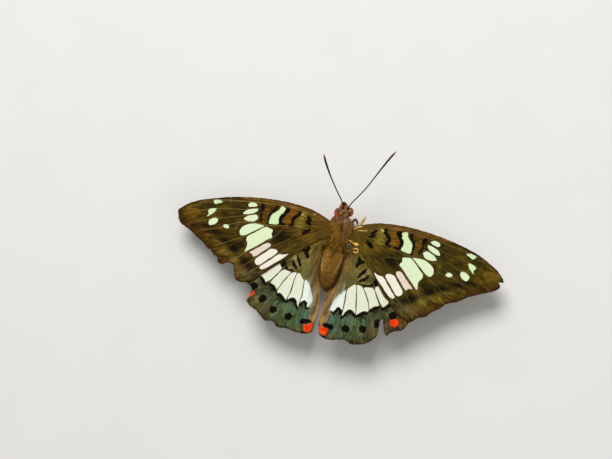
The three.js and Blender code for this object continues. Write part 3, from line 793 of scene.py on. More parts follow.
HIND_WINDOWS = [
    (IVORY, [(4.75, 12.1), (5.3, 11.5), (6.0, 10.75), (6.35, 10.85), (6.9, 12.95), (7.4, 15.2),
             (7.78, 17.3), (7.1, 16.75), (6.3, 16.6), (5.7, 17.4), (5.05, 18.5), (4.98, 17.2),
             (4.95, 15.8), (4.85, 14.0)]),
    (IVORY, [(6.55, 10.8), (7.3, 10.8), (7.95, 11.1), (8.9, 12.45), (9.8, 13.95), (10.5, 15.5),
             (10.45, 16.35), (9.9, 16.2), (9.4, 16.4), (8.8, 16.9), (8.1, 17.5), (8.0, 16.9),
             (7.65, 15.1), (7.15, 12.9)]),
    (IVORY, [(8.3, 11.05), (9.3, 10.75), (10.3, 10.8), (11.35, 12.3), (12.35, 13.9), (12.5, 14.4),
             (11.9, 14.6), (11.3, 15.0), (10.8, 15.6), (10.05, 13.85), (9.15, 12.3)]),
]
HIND_SIDE_WINDOWS = {
    "left": [
        (SNOW, [(4.4, 12.1), (4.65, 14.0), (4.78, 15.8), (4.82, 17.3), (4.4, 17.0), (3.85, 16.7),
                (3.4, 17.4), (3.05, 18.15), (2.6, 17.0), (2.5, 16.1), (2.9, 14.4), (3.3, 12.9), (3.9, 12.0)]),
        (IVORY, [(10.8, 10.7), (11.2, 9.8), (11.85, 9.55), (13.6, 11.3), (15.6, 13.2), (15.0, 13.3),
                 (14.5, 13.5), (13.95, 14.6), (13.3, 14.2), (12.75, 13.8), (11.6, 12.15)]),
    ],
    "right": [
        (SNOW, [(4.3, 12.2), (4.6, 14.0), (4.75, 15.8), (4.8, 17.2), (4.4, 16.9), (3.85, 16.55),
                (3.4, 17.1), (3.0, 17.9), (2.3, 17.6), (1.5, 17.3), (1.85, 16.3), (2.5, 14.0), (3.3, 12.7)]),
        (IVORY, [(10.75, 10.7), (10.95, 10.2), (11.35, 10.15), (12.3, 11.2), (13.3, 12.3), (14.45, 13.15),
                 (14.2, 13.8), (13.5, 14.6), (13.1, 14.1), (12.75, 13.8), (11.6, 12.15)]),
    ],
}
HIND_BARS = [
    [(7.8, 6.75, 0.26), (6.95, 7.96, 0.38), (6.4, 8.92, 0.28)],
    [(8.62, 8.2, 0.3), (7.98, 9.06, 0.42), (7.1, 9.78, 0.3)],
    [(5.5, 4.3, 0.34), (5.75, 5.05, 0.46), (6.65, 5.25, 0.34)], [(5.75, 5.65, 0.46), (5.3, 6.5, 0.46)],
    [(10.42, 9.3, 0.42), (10.75, 9.75, 0.5)], [(7.7, 10.45, 0.2), (9.3, 10.5, 0.26), (9.9, 10.05, 0.28)],
    [(2.4, 18.0, 0.14), (3.05, 18.35, 0.26), (3.5, 17.55, 0.34), (3.9, 17.0, 0.36), (4.4, 17.4, 0.3),
     (4.8, 18.0, 0.24)],
    [(5.1, 18.95, 0.26), (5.75, 17.85, 0.34), (6.3, 17.1, 0.38), (7.1, 17.25, 0.34), (7.85, 17.9, 0.26)],
    [(8.15, 18.0, 0.26), (8.85, 17.4, 0.34), (9.5, 16.85, 0.36), (10.4, 16.75, 0.28)],
    [(10.85, 16.1, 0.26), (11.4, 15.5, 0.34), (12.0, 15.1, 0.36), (12.7, 14.85, 0.28)],
    [(13.15, 14.6, 0.22), (13.6, 15.05, 0.26), (14.3, 14.2, 0.34), (14.9, 13.8, 0.26)],
    [(6.55, 21.05, 0.84), (6.7, 21.1, 0.84)], [(10.2, 20.25, 0.8), (10.35, 20.35, 0.82)],
    [(15.9, 15.85, 0.8), (16.2, 16.05, 0.8)],
]
HIND_SIDE_BARS = {
    "left": [[(13.3, 18.35, 0.84), (13.45, 18.55, 0.84)], [(2.0, 23.75, 0.24), (2.6, 23.8, 0.2)],
             [(1.6, 21.15, 0.42), (2.5, 21.2, 0.52), (3.2, 21.4, 0.6)]],
    "right": [[(13.08, 18.0, 0.58), (13.15, 18.95, 0.6)], [(1.6, 23.8, 0.2), (2.4, 23.9, 0.26)],
              [(1.7, 21.2, 0.44), (2.6, 21.3, 0.62), (3.3, 21.4, 0.66)]],
}
# Orange marks: one at the inner corner and one or two near the outer edge.
HIND_SPOTS = {
    "left": [
        [(2.75, 21.94), (1.97, 22.04), (1.09, 21.27), (0.79, 21.89), (1.08, 23.34), (1.97, 23.56),
         (2.6, 22.74)],
        [(15.88, 17.15), (15.6, 17.65), (16.06, 18.46), (16.68, 18.75), (16.66, 18.32), (16.2, 17.5)],
        [(17.85, 15.35), (18.1, 15.1), (18.35, 15.35), (18.1, 15.6)],
    ],
    "right": [
        [(0.79, 21.71), (1.56, 21.9), (2.73, 21.93), (2.9, 22.55), (2.55, 23.44), (1.72, 23.55),
         (1.01, 22.83)],
        [(15.75, 17.7), (15.85, 17.05), (16.5, 16.6), (17.2, 16.5), (17.6, 17.0), (17.65, 17.8),
         (17.1, 18.35), (16.5, 18.4)],
    ],
}
HIND_VEINS = [
    (0.20, 0.11, [(3.0, 1.6), (8.0, 3.0), (14.0, 8.0), (19.0, 13.2)]),
    (0.16, 0.10, [(3.2, 1.9), (7.0, 4.6), (11.4, 7.8), (16.4, 12.6), (17.6, 14.6)]),
    (0.13, 0.09, [(10.2, 7.6), (11.7, 9.2), (14.0, 11.6), (16.1, 14.4)]),
    (0.12, 0.08, [(9.9, 9.3), (10.55, 10.8), (11.5, 12.2), (12.6, 13.8), (13.2, 14.9), (13.6, 16.6)]),
    (0.12, 0.08, [(7.6, 10.3), (8.1, 11.05), (9.0, 12.4), (9.9, 13.9), (10.65, 15.7), (11.6, 19.0),
                  (12.2, 21.8)]),
    (0.12, 0.08, [(6.0, 9.2), (6.45, 10.7), (7.05, 12.95), (7.55, 15.2), (7.9, 17.1), (8.35, 20.5),
                  (8.5, 23.4)]),
    (0.15, 0.09, [(3.2, 2.6), (4.3, 6.8), (4.55, 12.1), (4.8, 14.0), (4.92, 15.8), (4.95, 18.4),
                  (4.6, 23.4)]),
    (0.13, 0.09, [(3.0, 3.0), (3.3, 8.0), (2.4, 13.6), (1.7, 18.6), (1.7, 22.8)]),
]
HIND_GROUND = daylight(80, 74, 34)
HIND_SHADES = [
    (daylight(106, 86, 30), [(5.0, 3.6, 2.6, 2.0), (9.5, 5.0, 3.0, 1.8)]),
    (daylight(118, 108, 52), [(4.4, 9.0, 0.9, 2.8), (5.2, 7.5, 0.7, 1.5), (4.8, 5.0, 0.9, 1.0)]),
    (daylight(186, 136, 50), [(3.7, 6.2, 0.9, 1.7)]),
    (daylight(140, 128, 74), [(7.1, 8.3, 0.7, 0.9), (8.2, 7.4, 0.6, 0.9), (8.4, 10.0, 0.7, 0.3)]),
    (daylight(84, 76, 38), [(9.7, 8.2, 0.9, 1.3), (12.6, 10.0, 2.0, 1.2), (7.5, 5.8, 1.0, 0.8)]),
    (daylight(176, 132, 72), [(1.4, 8.0, 1.3, 4.0), (1.2, 13.5, 1.1, 3.0), (0.9, 18.5, 0.7, 3.2)]),
    (daylight(196, 190, 164), [(2.2, 15.2, 0.35, 2.4), (3.5, 11.6, 0.5, 1.2)]),
    (daylight(116, 102, 78), [(1.9, 19.2, 0.5, 1.8)]),
    (daylight(76, 114, 96), [(3.1, 19.7, 0.8, 1.0)]),
    (daylight(64, 96, 78), [(6.3, 19.3, 0.8, 0.9), (4.2, 21.6, 0.7, 0.9)]),
    (daylight(68, 94, 66), [(3.9, 19.6, 0.8, 1.6), (6.4, 19.4, 1.1, 1.2), (9.7, 18.6, 1.0, 1.1),
                            (9.6, 21.9, 1.0, 0.6)]),
    (daylight(62, 84, 58), [(6.4, 22.7, 1.6, 0.7)]),
    (daylight(54, 58, 32), [(4.95, 20.5, 0.3, 2.6)]),
    (daylight(80, 90, 54), [(12.4, 16.6, 1.0, 0.9)]),
    (daylight(80, 100, 64), [(8.2, 20.3, 0.9, 1.2)]),
    (daylight(70, 60, 30), [(11.7, 18.6, 0.6, 2.0), (9.0, 21.8, 0.5, 1.0), (13.2, 20.6, 0.8, 1.0)]),
    (daylight(78, 94, 66), [(12.1, 17.9, 0.8, 1.5), (9.6, 21.6, 0.6, 0.6)]),
    (daylight(80, 78, 52), [(12.4, 20.9, 0.9, 0.9), (15.0, 15.2, 1.2, 0.8), (4.0, 23.3, 1.6, 0.4)]),
    (daylight(88, 58, 24), [(18.6, 16.8, 1.2, 1.3)]),
    (daylight(98, 86, 50), [(15.3, 19.2, 1.0, 1.0)]),
    (daylight(66, 72, 54), [(14.3, 17.2, 0.8, 0.8)]),
    (daylight(40, 24, 12), [(17.5, 18.9, 1.2, 0.45), (12.0, 22.4, 1.2, 0.4), (8.6, 23.6, 1.4, 0.3)]),
]
HIND_SMUDGES = [
    (4.4, 17.9, 0.5, 0.6, 1.0), (6.0, 17.9, 0.65, 0.5, 1.0), (9.5, 17.6, 1.0, 0.6, 1.2),
    (11.9, 15.8, 0.9, 0.55, 1.2), (14.3, 14.9, 0.8, 0.55, 1.2), (5.7, 5.4, 0.5, 0.8, 0.8),
    (10.6, 9.0, 0.7, 0.7, 1.2),
]


class Hindwing(Wing):
    hinge, turn, shift = (2.4, 0.0), math.radians(1.908), (0.14, -0.24)
    root, middle, vein_gap = (3.0, 0.5), (11.0, 2.5), 0.09
    vein_gold = {"left": 0.15, "right": 0.1}

    def height(self, x, y):
        near = 1 - ease(FOLD_IN, FOLD_OUT, np.abs(x - FOLD_MIDDLE))
        along = ease(1.5, 5.0, y) * (1 - ease(8.0, 21.0, y))
        return WING_HEIGHT + WING_SLOPE * y + arch(x) - HIND_SINK - FOLD_DEPTH * near * along

    def slide(self, flat):
        """The left wing's marks lie a little further out near the forewing."""
        l, r = flat.T
        reach = (0.30 + 0.50 * (1 - ease(7.0, 10.0, l))) * (1 - ease(11.0, 16.0, r)) * ease(1.5, 4.0, r)
        return np.column_stack((reach, 0 * reach)) * (self.side > 0)

    def marks(self, flat):
        """The same measures and colours as on a forewing."""
        here = flat - self.slide(flat)
        windows = HIND_WINDOWS + HIND_SIDE_WINDOWS[self.side_name]
        whole, which = marked(here, [loop for _, loop in windows])
        window = self.parted(here, whole, HIND_VEINS)
        ground = smudged(here, shaded(here, HIND_GROUND, HIND_SHADES), HIND_SMUDGES, 0.75)
        ground = blend(ease(-0.1, 0.2, whole) * 0.8, ground, VEIN_BROWN)
        outer = ease(20.0, 22.0, flat[:, 1] + 0.45 * flat[:, 0])
        rusty = (1 - ease(0.08, 0.45, self.edge_gap(flat))) * outer * 0.8
        return {
            "ground": blend(rusty, ground, daylight(40, 22, 14)),
            "window": window,
            "pale": np.array([colour for colour, _ in windows])[which],
            "bar": marked(here, strokes=HIND_BARS + HIND_SIDE_BARS[self.side_name])[0],
            "spot": marked(here, HIND_SPOTS[self.side_name])[0],
        }


HIND_AROUND, HIND_DEEP = 520, 80
for side_name in SIDES:
    outline = HIND_COSTA + HIND_MARGIN[side_name] + HIND_INNER[side_name]
    hindwing = Hindwing(side_name, "hindwing_" + side_name, outline)
    add_membrane(hindwing, HIND_AROUND, HIND_DEEP)
    add_veins(hindwing, HIND_VEINS)
    wings.append(hindwing)


# ---------------------------------------------------------------------------------------
# Body: one unbroken skin over head, thorax, abdomen, palps and six legs, lying inside the
# solids by the depth of the hair.
def drawn_through(body, centres, sizes, around, up=(0.0, 0.0, 1.0)):
    """A closed form drawn through oval rings; sizes are half-widths beside and above."""
    centres = np.array(centres, dtype=float)
    steps = len(centres) - 1
    run = np.gradient(centres, axis=0)
    run /= np.linalg.norm(run, axis=1)[:, None]
    beside = np.cross(run, up)
    weak = np.linalg.norm(beside, axis=1) < 0.15
    beside[weak] = np.cross(run[weak], (1.0, 0.0, 0.0))
    beside /= np.linalg.norm(beside, axis=1)[:, None]
    above = np.cross(beside, run)
    made = bmesh.ops.create_grid(body, x_segments=steps, y_segments=around, size=0.5)["verts"]
    for vert in made:
        k = round((vert.co.x + 0.5) * steps)
        turn = (vert.co.y + 0.5) * 2 * math.pi
        offset = beside[k] * (sizes[k][0] * math.cos(turn)) + above[k] * (sizes[k][1] * math.sin(turn))
        vert.co = centres[k] + offset
    bmesh.ops.remove_doubles(body, verts=made, dist=WELD)


def rod_through(body, line, radii, around=10, steps=40):
    """A round rod with round ends along a smooth line, its radius eased through the values."""
    path = evenly(flowing(line, 10, False), steps + 1, False)
    share = np.linspace(0, 1, steps + 1)
    radius = np.interp(share, np.linspace(0, 1, len(radii)), radii)
    radius = radius * np.sqrt(np.clip(np.minimum(share, 1 - share) * steps / 2.5, 0, 1))
    drawn_through(body, path, np.column_stack((radius, radius)), around)


BALL_RINGS = 17


def ball(body, centre, half, around=24):
    """A ball drawn out to a half-width along each of x, y and z."""
    turn = np.linspace(0, math.pi, BALL_RINGS)
    centres = np.tile(np.array(centre, dtype=float), (BALL_RINGS, 1))
    centres[:, 1] -= half[1] * np.cos(turn)
    drawn_through(body, centres, np.sin(turn)[:, None] * np.array((half[0], half[2])), around)


def spine_x(y):
    """The body's middle line, which bends a little to the left."""
    return np.interp(y, (-5.7, -4.0, -0.5, 1.5, 3.5, 6.0, 9.0, 11.0, 13.0),
                     (0.57, 0.42, 0.28, 0.36, 0.68, 0.88, 1.0, 1.02, 1.1))


# Rings along the trunk: place along y and share of the greatest half-width.
THORAX_Z, THORAX_HALF = 5.1, (2.05, 1.92)
THORAX_RINGS = [(-4.35, 0), (-4.22, 0.55), (-3.9, 0.8), (-3.3, 0.94), (-2.2, 1.0), (-0.5, 1.02),
                (1.0, 1.0), (2.2, 0.92), (3.1, 0.78), (3.7, 0.58), (3.95, 0)]
ABDOMEN_Z, ABDOMEN_HALF = 5.3, (2.3, 1.85)
ABDOMEN_RINGS = [(2.8, 0), (3.2, 0.7), (4.0, 0.93), (5.6, 1.0), (7.2, 1.0), (8.75, 0.96), (10.0, 0.86),
                 (10.9, 0.75), (11.7, 0.58), (12.3, 0.4), (12.7, 0.24), (12.95, 0)]
# The abdomen rises to the rear from a level point, and its segments meet in shallow folds.
ABDOMEN_RISE, ABDOMEN_LEVEL = 0.045, 3.85
ABDOMEN_FIRST, ABDOMEN_SEGMENT, ABDOMEN_FOLD = 4.3, 1.22, 0.05
HEAD_AT, HEAD_HALF = (0.57, -5.55, 5.75), (1.55, 1.25, 1.25)
# Swellings on the middle of the body: centre and half-widths along x, y and z.
SWELLINGS = [
    (HEAD_AT, HEAD_HALF),
    ((0.48, -4.6, 5.4), (1.05, 0.8, 0.95)),  # neck
    ((0.86, -6.9, 4.75), (0.6, 0.85, 0.42)),  # mouth, between the palps
    ((0.55, 3.1, 5.85), (1.6, 1.5, 1.15)),  # rear of the thorax, over the waist
    ((2.4, -3.72, 5.6), (0.7, 0.72, 0.5)),  # hump before the left forewing
    ((2.4, 2.3, 5.05), (0.7, 1.6, 0.7)),  # side under the left hindwing's root
]
# Swellings on both sides: middle and reach along x, place along y and z, half-widths, corners.
PAIRED_SWELLINGS = [
    (0.42, 0.78, -4.12, 6.2, (0.85, 0.42, 0.55), 24),  # collar
    (0.3, 1.8, -2.1, 6.15, (0.72, 1.6, 0.6), 24),  # shoulder
    (0.25, 2.0, 1.4, 5.4, (0.8, 1.25, 0.6), 24),  # hindwing's root
    (0.25, 1.1, -1.0, 3.6, (0.7, 0.9, 0.8), 16),  # hip of the middle leg
    (0.25, 1.05, 1.6, 3.6, (0.7, 0.9, 0.8), 16),  # hip of the hind leg
]
# Radii from the first to the last point of a palp, a walking leg and a folded foreleg.
PALP_RADII = (0.42, 0.48, 0.46, 0.38, 0.26, 0.1)
LEG_RADII = (0.34, 0.34, 0.3, 0.28, 0.26, 0.25, 0.26, 0.28, 0.29, 0.27)
BRUSH_RADII = (0.28, 0.28, 0.27, 0.25, 0.2)
SKIN_VOXEL = 0.085
PALPS = {
    "left": [(1.35, -6.1, 4.75), (1.52, -6.8, 4.8), (1.45, -7.3, 5.1), (1.3, -7.75, 5.35),
             (1.16, -8.15, 5.55)],
    "right": [(0.1, -6.2, 4.75), (0.12, -6.9, 4.8), (0.4, -7.4, 5.1), (0.75, -7.8, 5.35),
              (1.02, -8.15, 5.55)],
}
LEGS = {
    "midleg_right": [(-1.2, -1.0, 3.4), (-1.7, -1.2, 2.6), (-3.4, -1.9, 3.7), (-4.9, -2.6, 4.05),
                     (-4.1, -3.6, 2.7), (-2.9, -4.3, 1.1), (-2.95, -5.2, 0.25), (-3.59, -6.75, 0.25)],
    "midleg_left": [(1.4, -1.0, 3.4), (2.0, -1.2, 2.6), (3.8, -1.7, 3.7), (5.6, -2.2, 4.05),
                    (6.0, -2.7, 2.7), (6.1, -3.1, 1.1), (6.2, -3.5, 0.25), (6.55, -5.0, 0.25)],
    "hindleg_right": [(-1.1, 1.7, 3.4), (-1.6, 2.0, 2.6), (-3.9, 3.9, 3.5), (-6.0, 5.6, 4.05),
                      (-6.9, 7.4, 2.8), (-7.5, 8.8, 1.1), (-7.7, 9.7, 0.25), (-8.2, 11.5, 0.25)],
    "hindleg_left": [(1.3, 1.7, 3.4), (1.9, 2.0, 2.6), (4.2, 3.9, 3.5), (6.3, 5.6, 4.05),
                     (7.2, 7.4, 2.8), (7.8, 8.8, 1.1), (8.0, 9.7, 0.25), (8.45, 11.5, 0.25)],
}
BRUSH_LEGS = {
    "foreleg_right": [(-1.0, -3.0, 4.2), (-1.4, -3.45, 4.1), (-1.8, -4.2, 4.7), (-2.3, -4.72, 5.05),
                      (-2.75, -4.3, 4.95), (-2.97, -3.6, 4.5)],
    "foreleg_left": [(1.2, -3.0, 4.2), (1.85, -3.4, 3.8), (2.1, -4.2, 3.9), (2.0, -5.0, 3.75),
                     (1.75, -5.7, 3.45)],
}


def segment_wave(y):
    """A wave along the abdomen, at its crest where one segment meets the next."""
    return np.cos(2 * math.pi * (y - ABDOMEN_FIRST) / ABDOMEN_SEGMENT)


def trunk(body, rings, steps, half, height, rise=0.0, fold=0.0):
    """One length of the trunk, drawn through its rings from front to rear."""
    y = np.linspace(rings[0][0], rings[-1][0], steps)
    ring = np.interp(y, *np.array(rings).T) * (1 - fold * np.maximum(0, segment_wave(y)) ** 8)
    centres = np.column_stack((spine_x(y), y, height + rise * (y - ABDOMEN_LEVEL)))
    drawn_through(body, centres, ring[:, None] * np.array(half), 32)


body = bmesh.new()
trunk(body, THORAX_RINGS, 40, THORAX_HALF, THORAX_Z)
trunk(body, ABDOMEN_RINGS, 90, ABDOMEN_HALF, ABDOMEN_Z, ABDOMEN_RISE, ABDOMEN_FOLD)
for centre, half in SWELLINGS:
    ball(body, centre, half)
for side_name, side in SIDES.items():
    for middle, reach, along, high, half, around in PAIRED_SWELLINGS:
        ball(body, (middle + side * reach, along, high), half, around)
    rod_through(body, PALPS[side_name], PALP_RADII, 12)
for line in LEGS.values():
    rod_through(body, line, LEG_RADII, 10, 70)
for line in BRUSH_LEGS.values():
    rod_through(body, line, BRUSH_RADII, 10, 40)
bmesh.ops.recalc_face_normals(body, faces=body.faces)

rough_mesh = bpy.data.meshes.new("body_rough")
body.to_mesh(rough_mesh)
body.free()
rough = add_object("body_rough", rough_mesh)
remesh = rough.modifiers.new("one_skin", "REMESH")
remesh.mode = "VOXEL"
remesh.voxel_size = SKIN_VOXEL
calm = rough.modifiers.new("calm", "SMOOTH")
calm.factor = 0.5
calm.iterations = 3
graph = bpy.context.evaluated_depsgraph_get()
skin_mesh = bpy.data.meshes.new_from_object(rough.evaluated_get(graph))
skin_mesh.name = "body_skin"
bpy.data.objects.remove(rough)

EYES = {"left": (1.98, -5.42, 5.75), "right": (-0.84, -6.0, 5.75)}
EYE_HALF = (0.8, 1.08, 1.08)
# How fast the hair's lie spreads outward toward the rear.
HAIR_FAN = 0.12


def streaks(across, along):
    """Locks of hair that cling together: a share from -1 to 1 that runs along the body."""
    return (np.sin(9.1 * across + 0.8 * along) + np.sin(15.7 * across - 1.1 * along + 1.3)
            + np.sin(25.3 * across + 1.9 * along + 4.1)) / 3


def clinging(places):
    """How much each place belongs to a lock that stands out, by the way the hair lies."""
    x, y, z = places.T
    across = (x - spine_x(y)) * np.exp(-HAIR_FAN * y)
    across += 0.2 * np.sin(1.3 * y + 1.1 * across) + 0.09 * np.sin(4.1 * y - 2.3 * across)
    broken = 0.72 + 0.5 * np.sin(2.3 * y + 5.0 * across) * np.sin(1.1 * y - 3.1 * across + 1.0)
    return streaks(across, y * 0.5) * broken * (y > -4.5) * (z > 4.0)


# Tufts of the collar: place beside the middle line, reach, share and colour.
COLLAR_TUFTS = [
    (-1.2, 0.34, 0.8, (206, 180, 144)),
    (-0.57, 0.13, 0.95, (255, 214, 190)),
    (0.1, 0.3, 0.6, (170, 124, 96)),
    (0.8, 0.4, 0.6, (164, 120, 90)),
    (2.2, 0.5, 0.6, (128, 76, 44)),
]
# The pale line along each side of the abdomen: places along y, and how far out it is there.
SIDE_LINE = (3.5, 5.5, 7.0, 8.7, 10.0, 12.0), (1.95, 2.05, 1.85, 1.4, 1.1, 0.4)


def span(value, rise, fall):
    """A share that rises between one pair of values and falls between another."""
    return ease(*rise, value) * (1 - ease(*fall, value))


def on_legs(off, z):
    """How surely a place this far from the middle line and this high is on a leg."""
    wide = np.abs(off)
    beyond = ease(2.7, 3.2, wide) * (z < 4.6)
    below = (1 - ease(2.6, 3.0, z)) * ease(0.4, 1.2, wide)
    return np.maximum(beyond, below)


def body_tone(places):
    """Colour of skin and hair at places on the body, laid on one coat over another."""
    x, y, z = places.T
    off = x - spine_x(y)
    wide = np.abs(off)
    tone = np.tile(daylight(158, 114, 38), (len(places), 1))

    def over(share, red, green, blue):
        tone[:] = blend(share, tone, daylight(red, green, blue))

    # Thorax: olive brown on the left, greyer on the right, with three dark partings in front.
    over(ease(-0.2, 0.9, off) * 0.7, 164, 124, 42)
    over(ease(0.1, 0.9, -off) * 0.75, 140, 106, 60)
    over(close_to(off, 0.15, 0.5) * (1 - ease(-1.6, 0.6, y)) * 0.45, 160, 114, 36)
    over(close_to(off, -0.3, 0.15) * span(y, (-3.6, -3.2), (-1.0, 0.0)), 30, 18, 5)
    over(close_to(off, 0.12, 0.1) * span(y, (-3.2, -2.8), (-1.6, -0.8)) * 0.8, 40, 26, 8)
    over(close_to(off, -1.2, 0.12) * span(y, (-3.2, -2.6), (-0.6, 0.2)) * 0.8, 46, 32, 12)
    # Collar: a fawn band with its tufts.
    over(close_to(y, -4.1, 0.5) * ease(5.4, 6.2, z) * 0.8, 158, 112, 82)
    for at, reach, share, tone_there in COLLAR_TUFTS:
        over(close_to(off, at, reach) * close_to(y, -3.85, 0.45) * share, *tone_there)
    # Abdomen: golden brown with a painted highlight on its front and painted light on its left, darker
    # outside the pale side lines.
    rear = ease(3.2, 3.8, y + 0.45 * wide - 0.45)
    beyond = wide - np.interp(y, *SIDE_LINE)
    over(ease(-1.6, 1.8, y) * 0.8, 122, 88, 18)
    over(rear, 160, 113, 40)
    # Painted highlight on the sides of the abdomen's front.
    over(rear * (1 - ease(4.5, 6.5, y)) * ease(0.5, 1.2, wide) * 0.5, 188, 134, 58)
    # Painted light on the abdomen's left side, which faces the light.
    over(rear * ease(0.3, 1.2, off) * (1 - ease(7.0, 9.0, y)) * 0.6, 196, 146, 68)
    over(rear * ease(0.3, 1.1, -off) * 0.35, 136, 92, 24)
    over(rear * ease(0.0, 0.35, beyond) * 0.75, 124, 92, 34)
    over(ease(4.0, 6.0, y) * ease(0.45, 0.9, beyond) * 0.8, 70, 46, 18)
    over(rear * close_to(off, -0.1, 0.3) * (1 - ease(4.6, 6.2, y)) * 0.85, 54, 28, 5)
    pale_line = rear * close_to(beyond, 0.0, 0.17) * span(y, (4.2, 5.4), (8.6, 9.8))
    # The pale side lines, painted brighter on the left side, which faces the light.
    over(pale_line * (0.55 + 0.3 * ease(-0.5, 0.5, off)), 232, 186, 112)
    over(rear * ease(8.0, 10.4, y) * 0.75, 126, 90, 24)
    over(ease(11.8, 12.6, y) * 0.7, 78, 46, 16)
    # Head and palps: fawn, rust brown between the palps and at their tips, red about the eyes.
    over(1 - ease(-4.75, -4.55, y), 206, 152, 92)
    over((1 - ease(-6.6, -6.3, y)) * (z > 3.8), 214, 140, 96)
    over((1 - ease(-6.5, -6.2, y)) * close_to(x, 0.86, 0.24) * (z > 4.2), 70, 22, 16)
    over((1 - ease(-7.8, -7.2, y)) * (z > 3.8), 92, 20, 16)
    for centre in EYES.values():
        gap = np.linalg.norm((places - centre) / np.array(EYE_HALF), axis=1)
        over((1 - ease(1.05, 1.3, gap)) * ease(-5.6, -5.0, y), 232, 66, 26)
    # Legs: pale straw, with the right foreleg brown.
    over(on_legs(off, z), 250, 206, 128)
    over((y < -3.2) * (y > -5.4) * ease(1.7, 2.1, -off) * (z > 3.9) * (z < 5.5), 84, 46, 20)
    # Brow: dark, with pale dots.
    brow = (y > -7.0) * (y < -4.6) * (z > 4.2) * (wide < 2.0)
    dots = np.sin(12.5 * x + 1.6 * np.sin(9.0 * y)) * np.sin(13.0 * y + 1.8 * np.sin(8.0 * x) + 0.7)
    over(brow * (1 - ease(-0.2, 0.15, dots)) * 0.97, 34, 18, 5)
    over(brow * ease(0.2, 0.6, dots) * 0.8, 246, 200, 140)
    # Locks stand out light and dark, less so on the abdomen, and its folds are darker.
    folds = np.maximum(0, segment_wave(y) * ease(4.0, 5.0, y)) ** 3
    lit = 1 + (1.3 - rear) * clinging(places) - 0.24 * folds
    return tone * np.maximum(lit, 0.3)[:, None]


skin_places = np.empty(len(skin_mesh.vertices) * 3)
skin_mesh.vertices.foreach_get("co", skin_places)
skin_places = skin_places.reshape(-1, 3)
skin_places[:, 2] = np.maximum(skin_places[:, 2], 0.0)
skin_mesh.vertices.foreach_set("co", skin_places.ravel())
beside = skin_places[:, 0] - spine_x(skin_places[:, 1])
under_hair = 0.75 + 0.3 * on_legs(beside, skin_places[:, 2])
put_field(skin_mesh, "ground", body_tone(skin_places) * under_hair[:, None])
skin_mesh.transform(TO_METRES)
skin_mesh.shade_smooth()

skin_finish = Finish("body_skin", 0.75, 0.12)
skin_fibre = skin_finish.noise(skin_finish.stretch(skin_finish.place(), (1.0, 0.22, 1.0)), 5200.0, 4.0, 0.6)
skin_patch = skin_finish.noise(skin_finish.place(), 700.0, 3.0)
skin_colour = skin_finish.mix(
    skin_finish.step(skin_fibre, 0.3, 0.7, 0.0, 0.55), skin_finish.field("ground", "Color"),
    daylight(66, 44, 22),
)
skin_colour = skin_finish.mix(skin_finish.step(skin_patch, 0.45, 0.75, 0.0, 0.3), skin_colour,
                              daylight(176, 132, 78))
skin_relief = skin_finish.relief(skin_fibre, 0.00006, 0.7)
skin_piece = add_object("body_skin", skin_mesh, skin_finish.wear(skin_colour, skin_relief))
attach(skin_piece, "root")
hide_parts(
    "head", "thorax", "abdomen", "palp_left", "palp_right", "foreleg_left", "foreleg_right",
    "midleg_left", "midleg_right", "hindleg_left", "hindleg_right",
)


# ---------------------------------------------------------------------------------------
# Claws: a pair of small dark hooks at the end of each of the four walking feet.
CLAW_LONG, CLAW_HALF, CLAW_SPREAD = 0.34, 0.055, 0.5

claws = bmesh.new()
for line in LEGS.values():
    toe = np.array(line[-1])
    ahead = toe - np.array(line[-2])
    ahead /= np.linalg.norm(ahead)
    beside = np.array((-ahead[1], ahead[0], 0.0))
    for way in (-1, 1):
        grow = ahead * 0.8 + beside * way * CLAW_SPREAD
        hook = [toe - ahead * 0.06, toe + grow * CLAW_LONG * 0.6 + (0, 0, 0.05), toe + grow * CLAW_LONG]
        hook[2][2] = CLAW_HALF
        rod_through(claws, hook, (CLAW_HALF, CLAW_HALF * 0.9, CLAW_HALF * 0.3), 6, 10)
bmesh.ops.recalc_face_normals(claws, faces=claws.faces)
claw_mesh = smooth_mesh(claws, "claws")
claw_finish = Finish("claw_horn", 0.4, 0.4)
claw_grain = claw_finish.noise(claw_finish.place(), 15000.0, 2.0)
claw_colour = claw_finish.mix(claw_grain, daylight(40, 24, 16), daylight(96, 58, 34))
claw_piece = add_object("foot_claws", claw_mesh,
                        claw_finish.wear(claw_colour, claw_finish.relief(claw_grain, 0.000005)))
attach(claw_piece, "root")


# ---------------------------------------------------------------------------------------
# Eyes: two bulging ovals of fine facets set in the sides of the head, tan dots in a dark
# net, with a painted reddish sheen toward the rim and, on the left one, a painted red-orange highlight at the
# rear.
# How strong each eye's painted red-orange highlight is.
EYE_RED_HIGHLIGHT = {"left": 1.0, "right": 0.18}

eye_finish = Finish("eye_facets", 0.4, 0.2)
facets = eye_finish.cells(eye_finish.place(), 13000.0)
eye_mottle = eye_finish.noise(eye_finish.place(), 2600.0, 3.0)
eye_beads = eye_finish.cells(eye_finish.place(), 3500.0)
eye_colour = eye_finish.mix(eye_finish.step(eye_mottle, 0.4, 0.6), daylight(176, 122, 62),
                            daylight(222, 172, 104))
eye_colour = eye_finish.mix(eye_finish.step(eye_beads, 0.3, 0.42, 0.0, 0.94), eye_colour,
                            daylight(44, 22, 8))
# Painted reddish sheen toward each eye's outer rim, then its painted red-orange highlight.
eye_colour = eye_finish.mix(eye_finish.field("rim"), eye_colour, daylight(200, 100, 54))
eye_colour = eye_finish.mix(eye_finish.field("blush"), eye_colour, daylight(255, 84, 34))
eye_colour = eye_finish.mix(eye_finish.step(facets, 0.3, 0.7, 0.0, 0.3), eye_colour,
                            daylight(60, 24, 14))
eye_material = eye_finish.wear(eye_colour, eye_finish.relief(facets, 0.00001, 0.5))
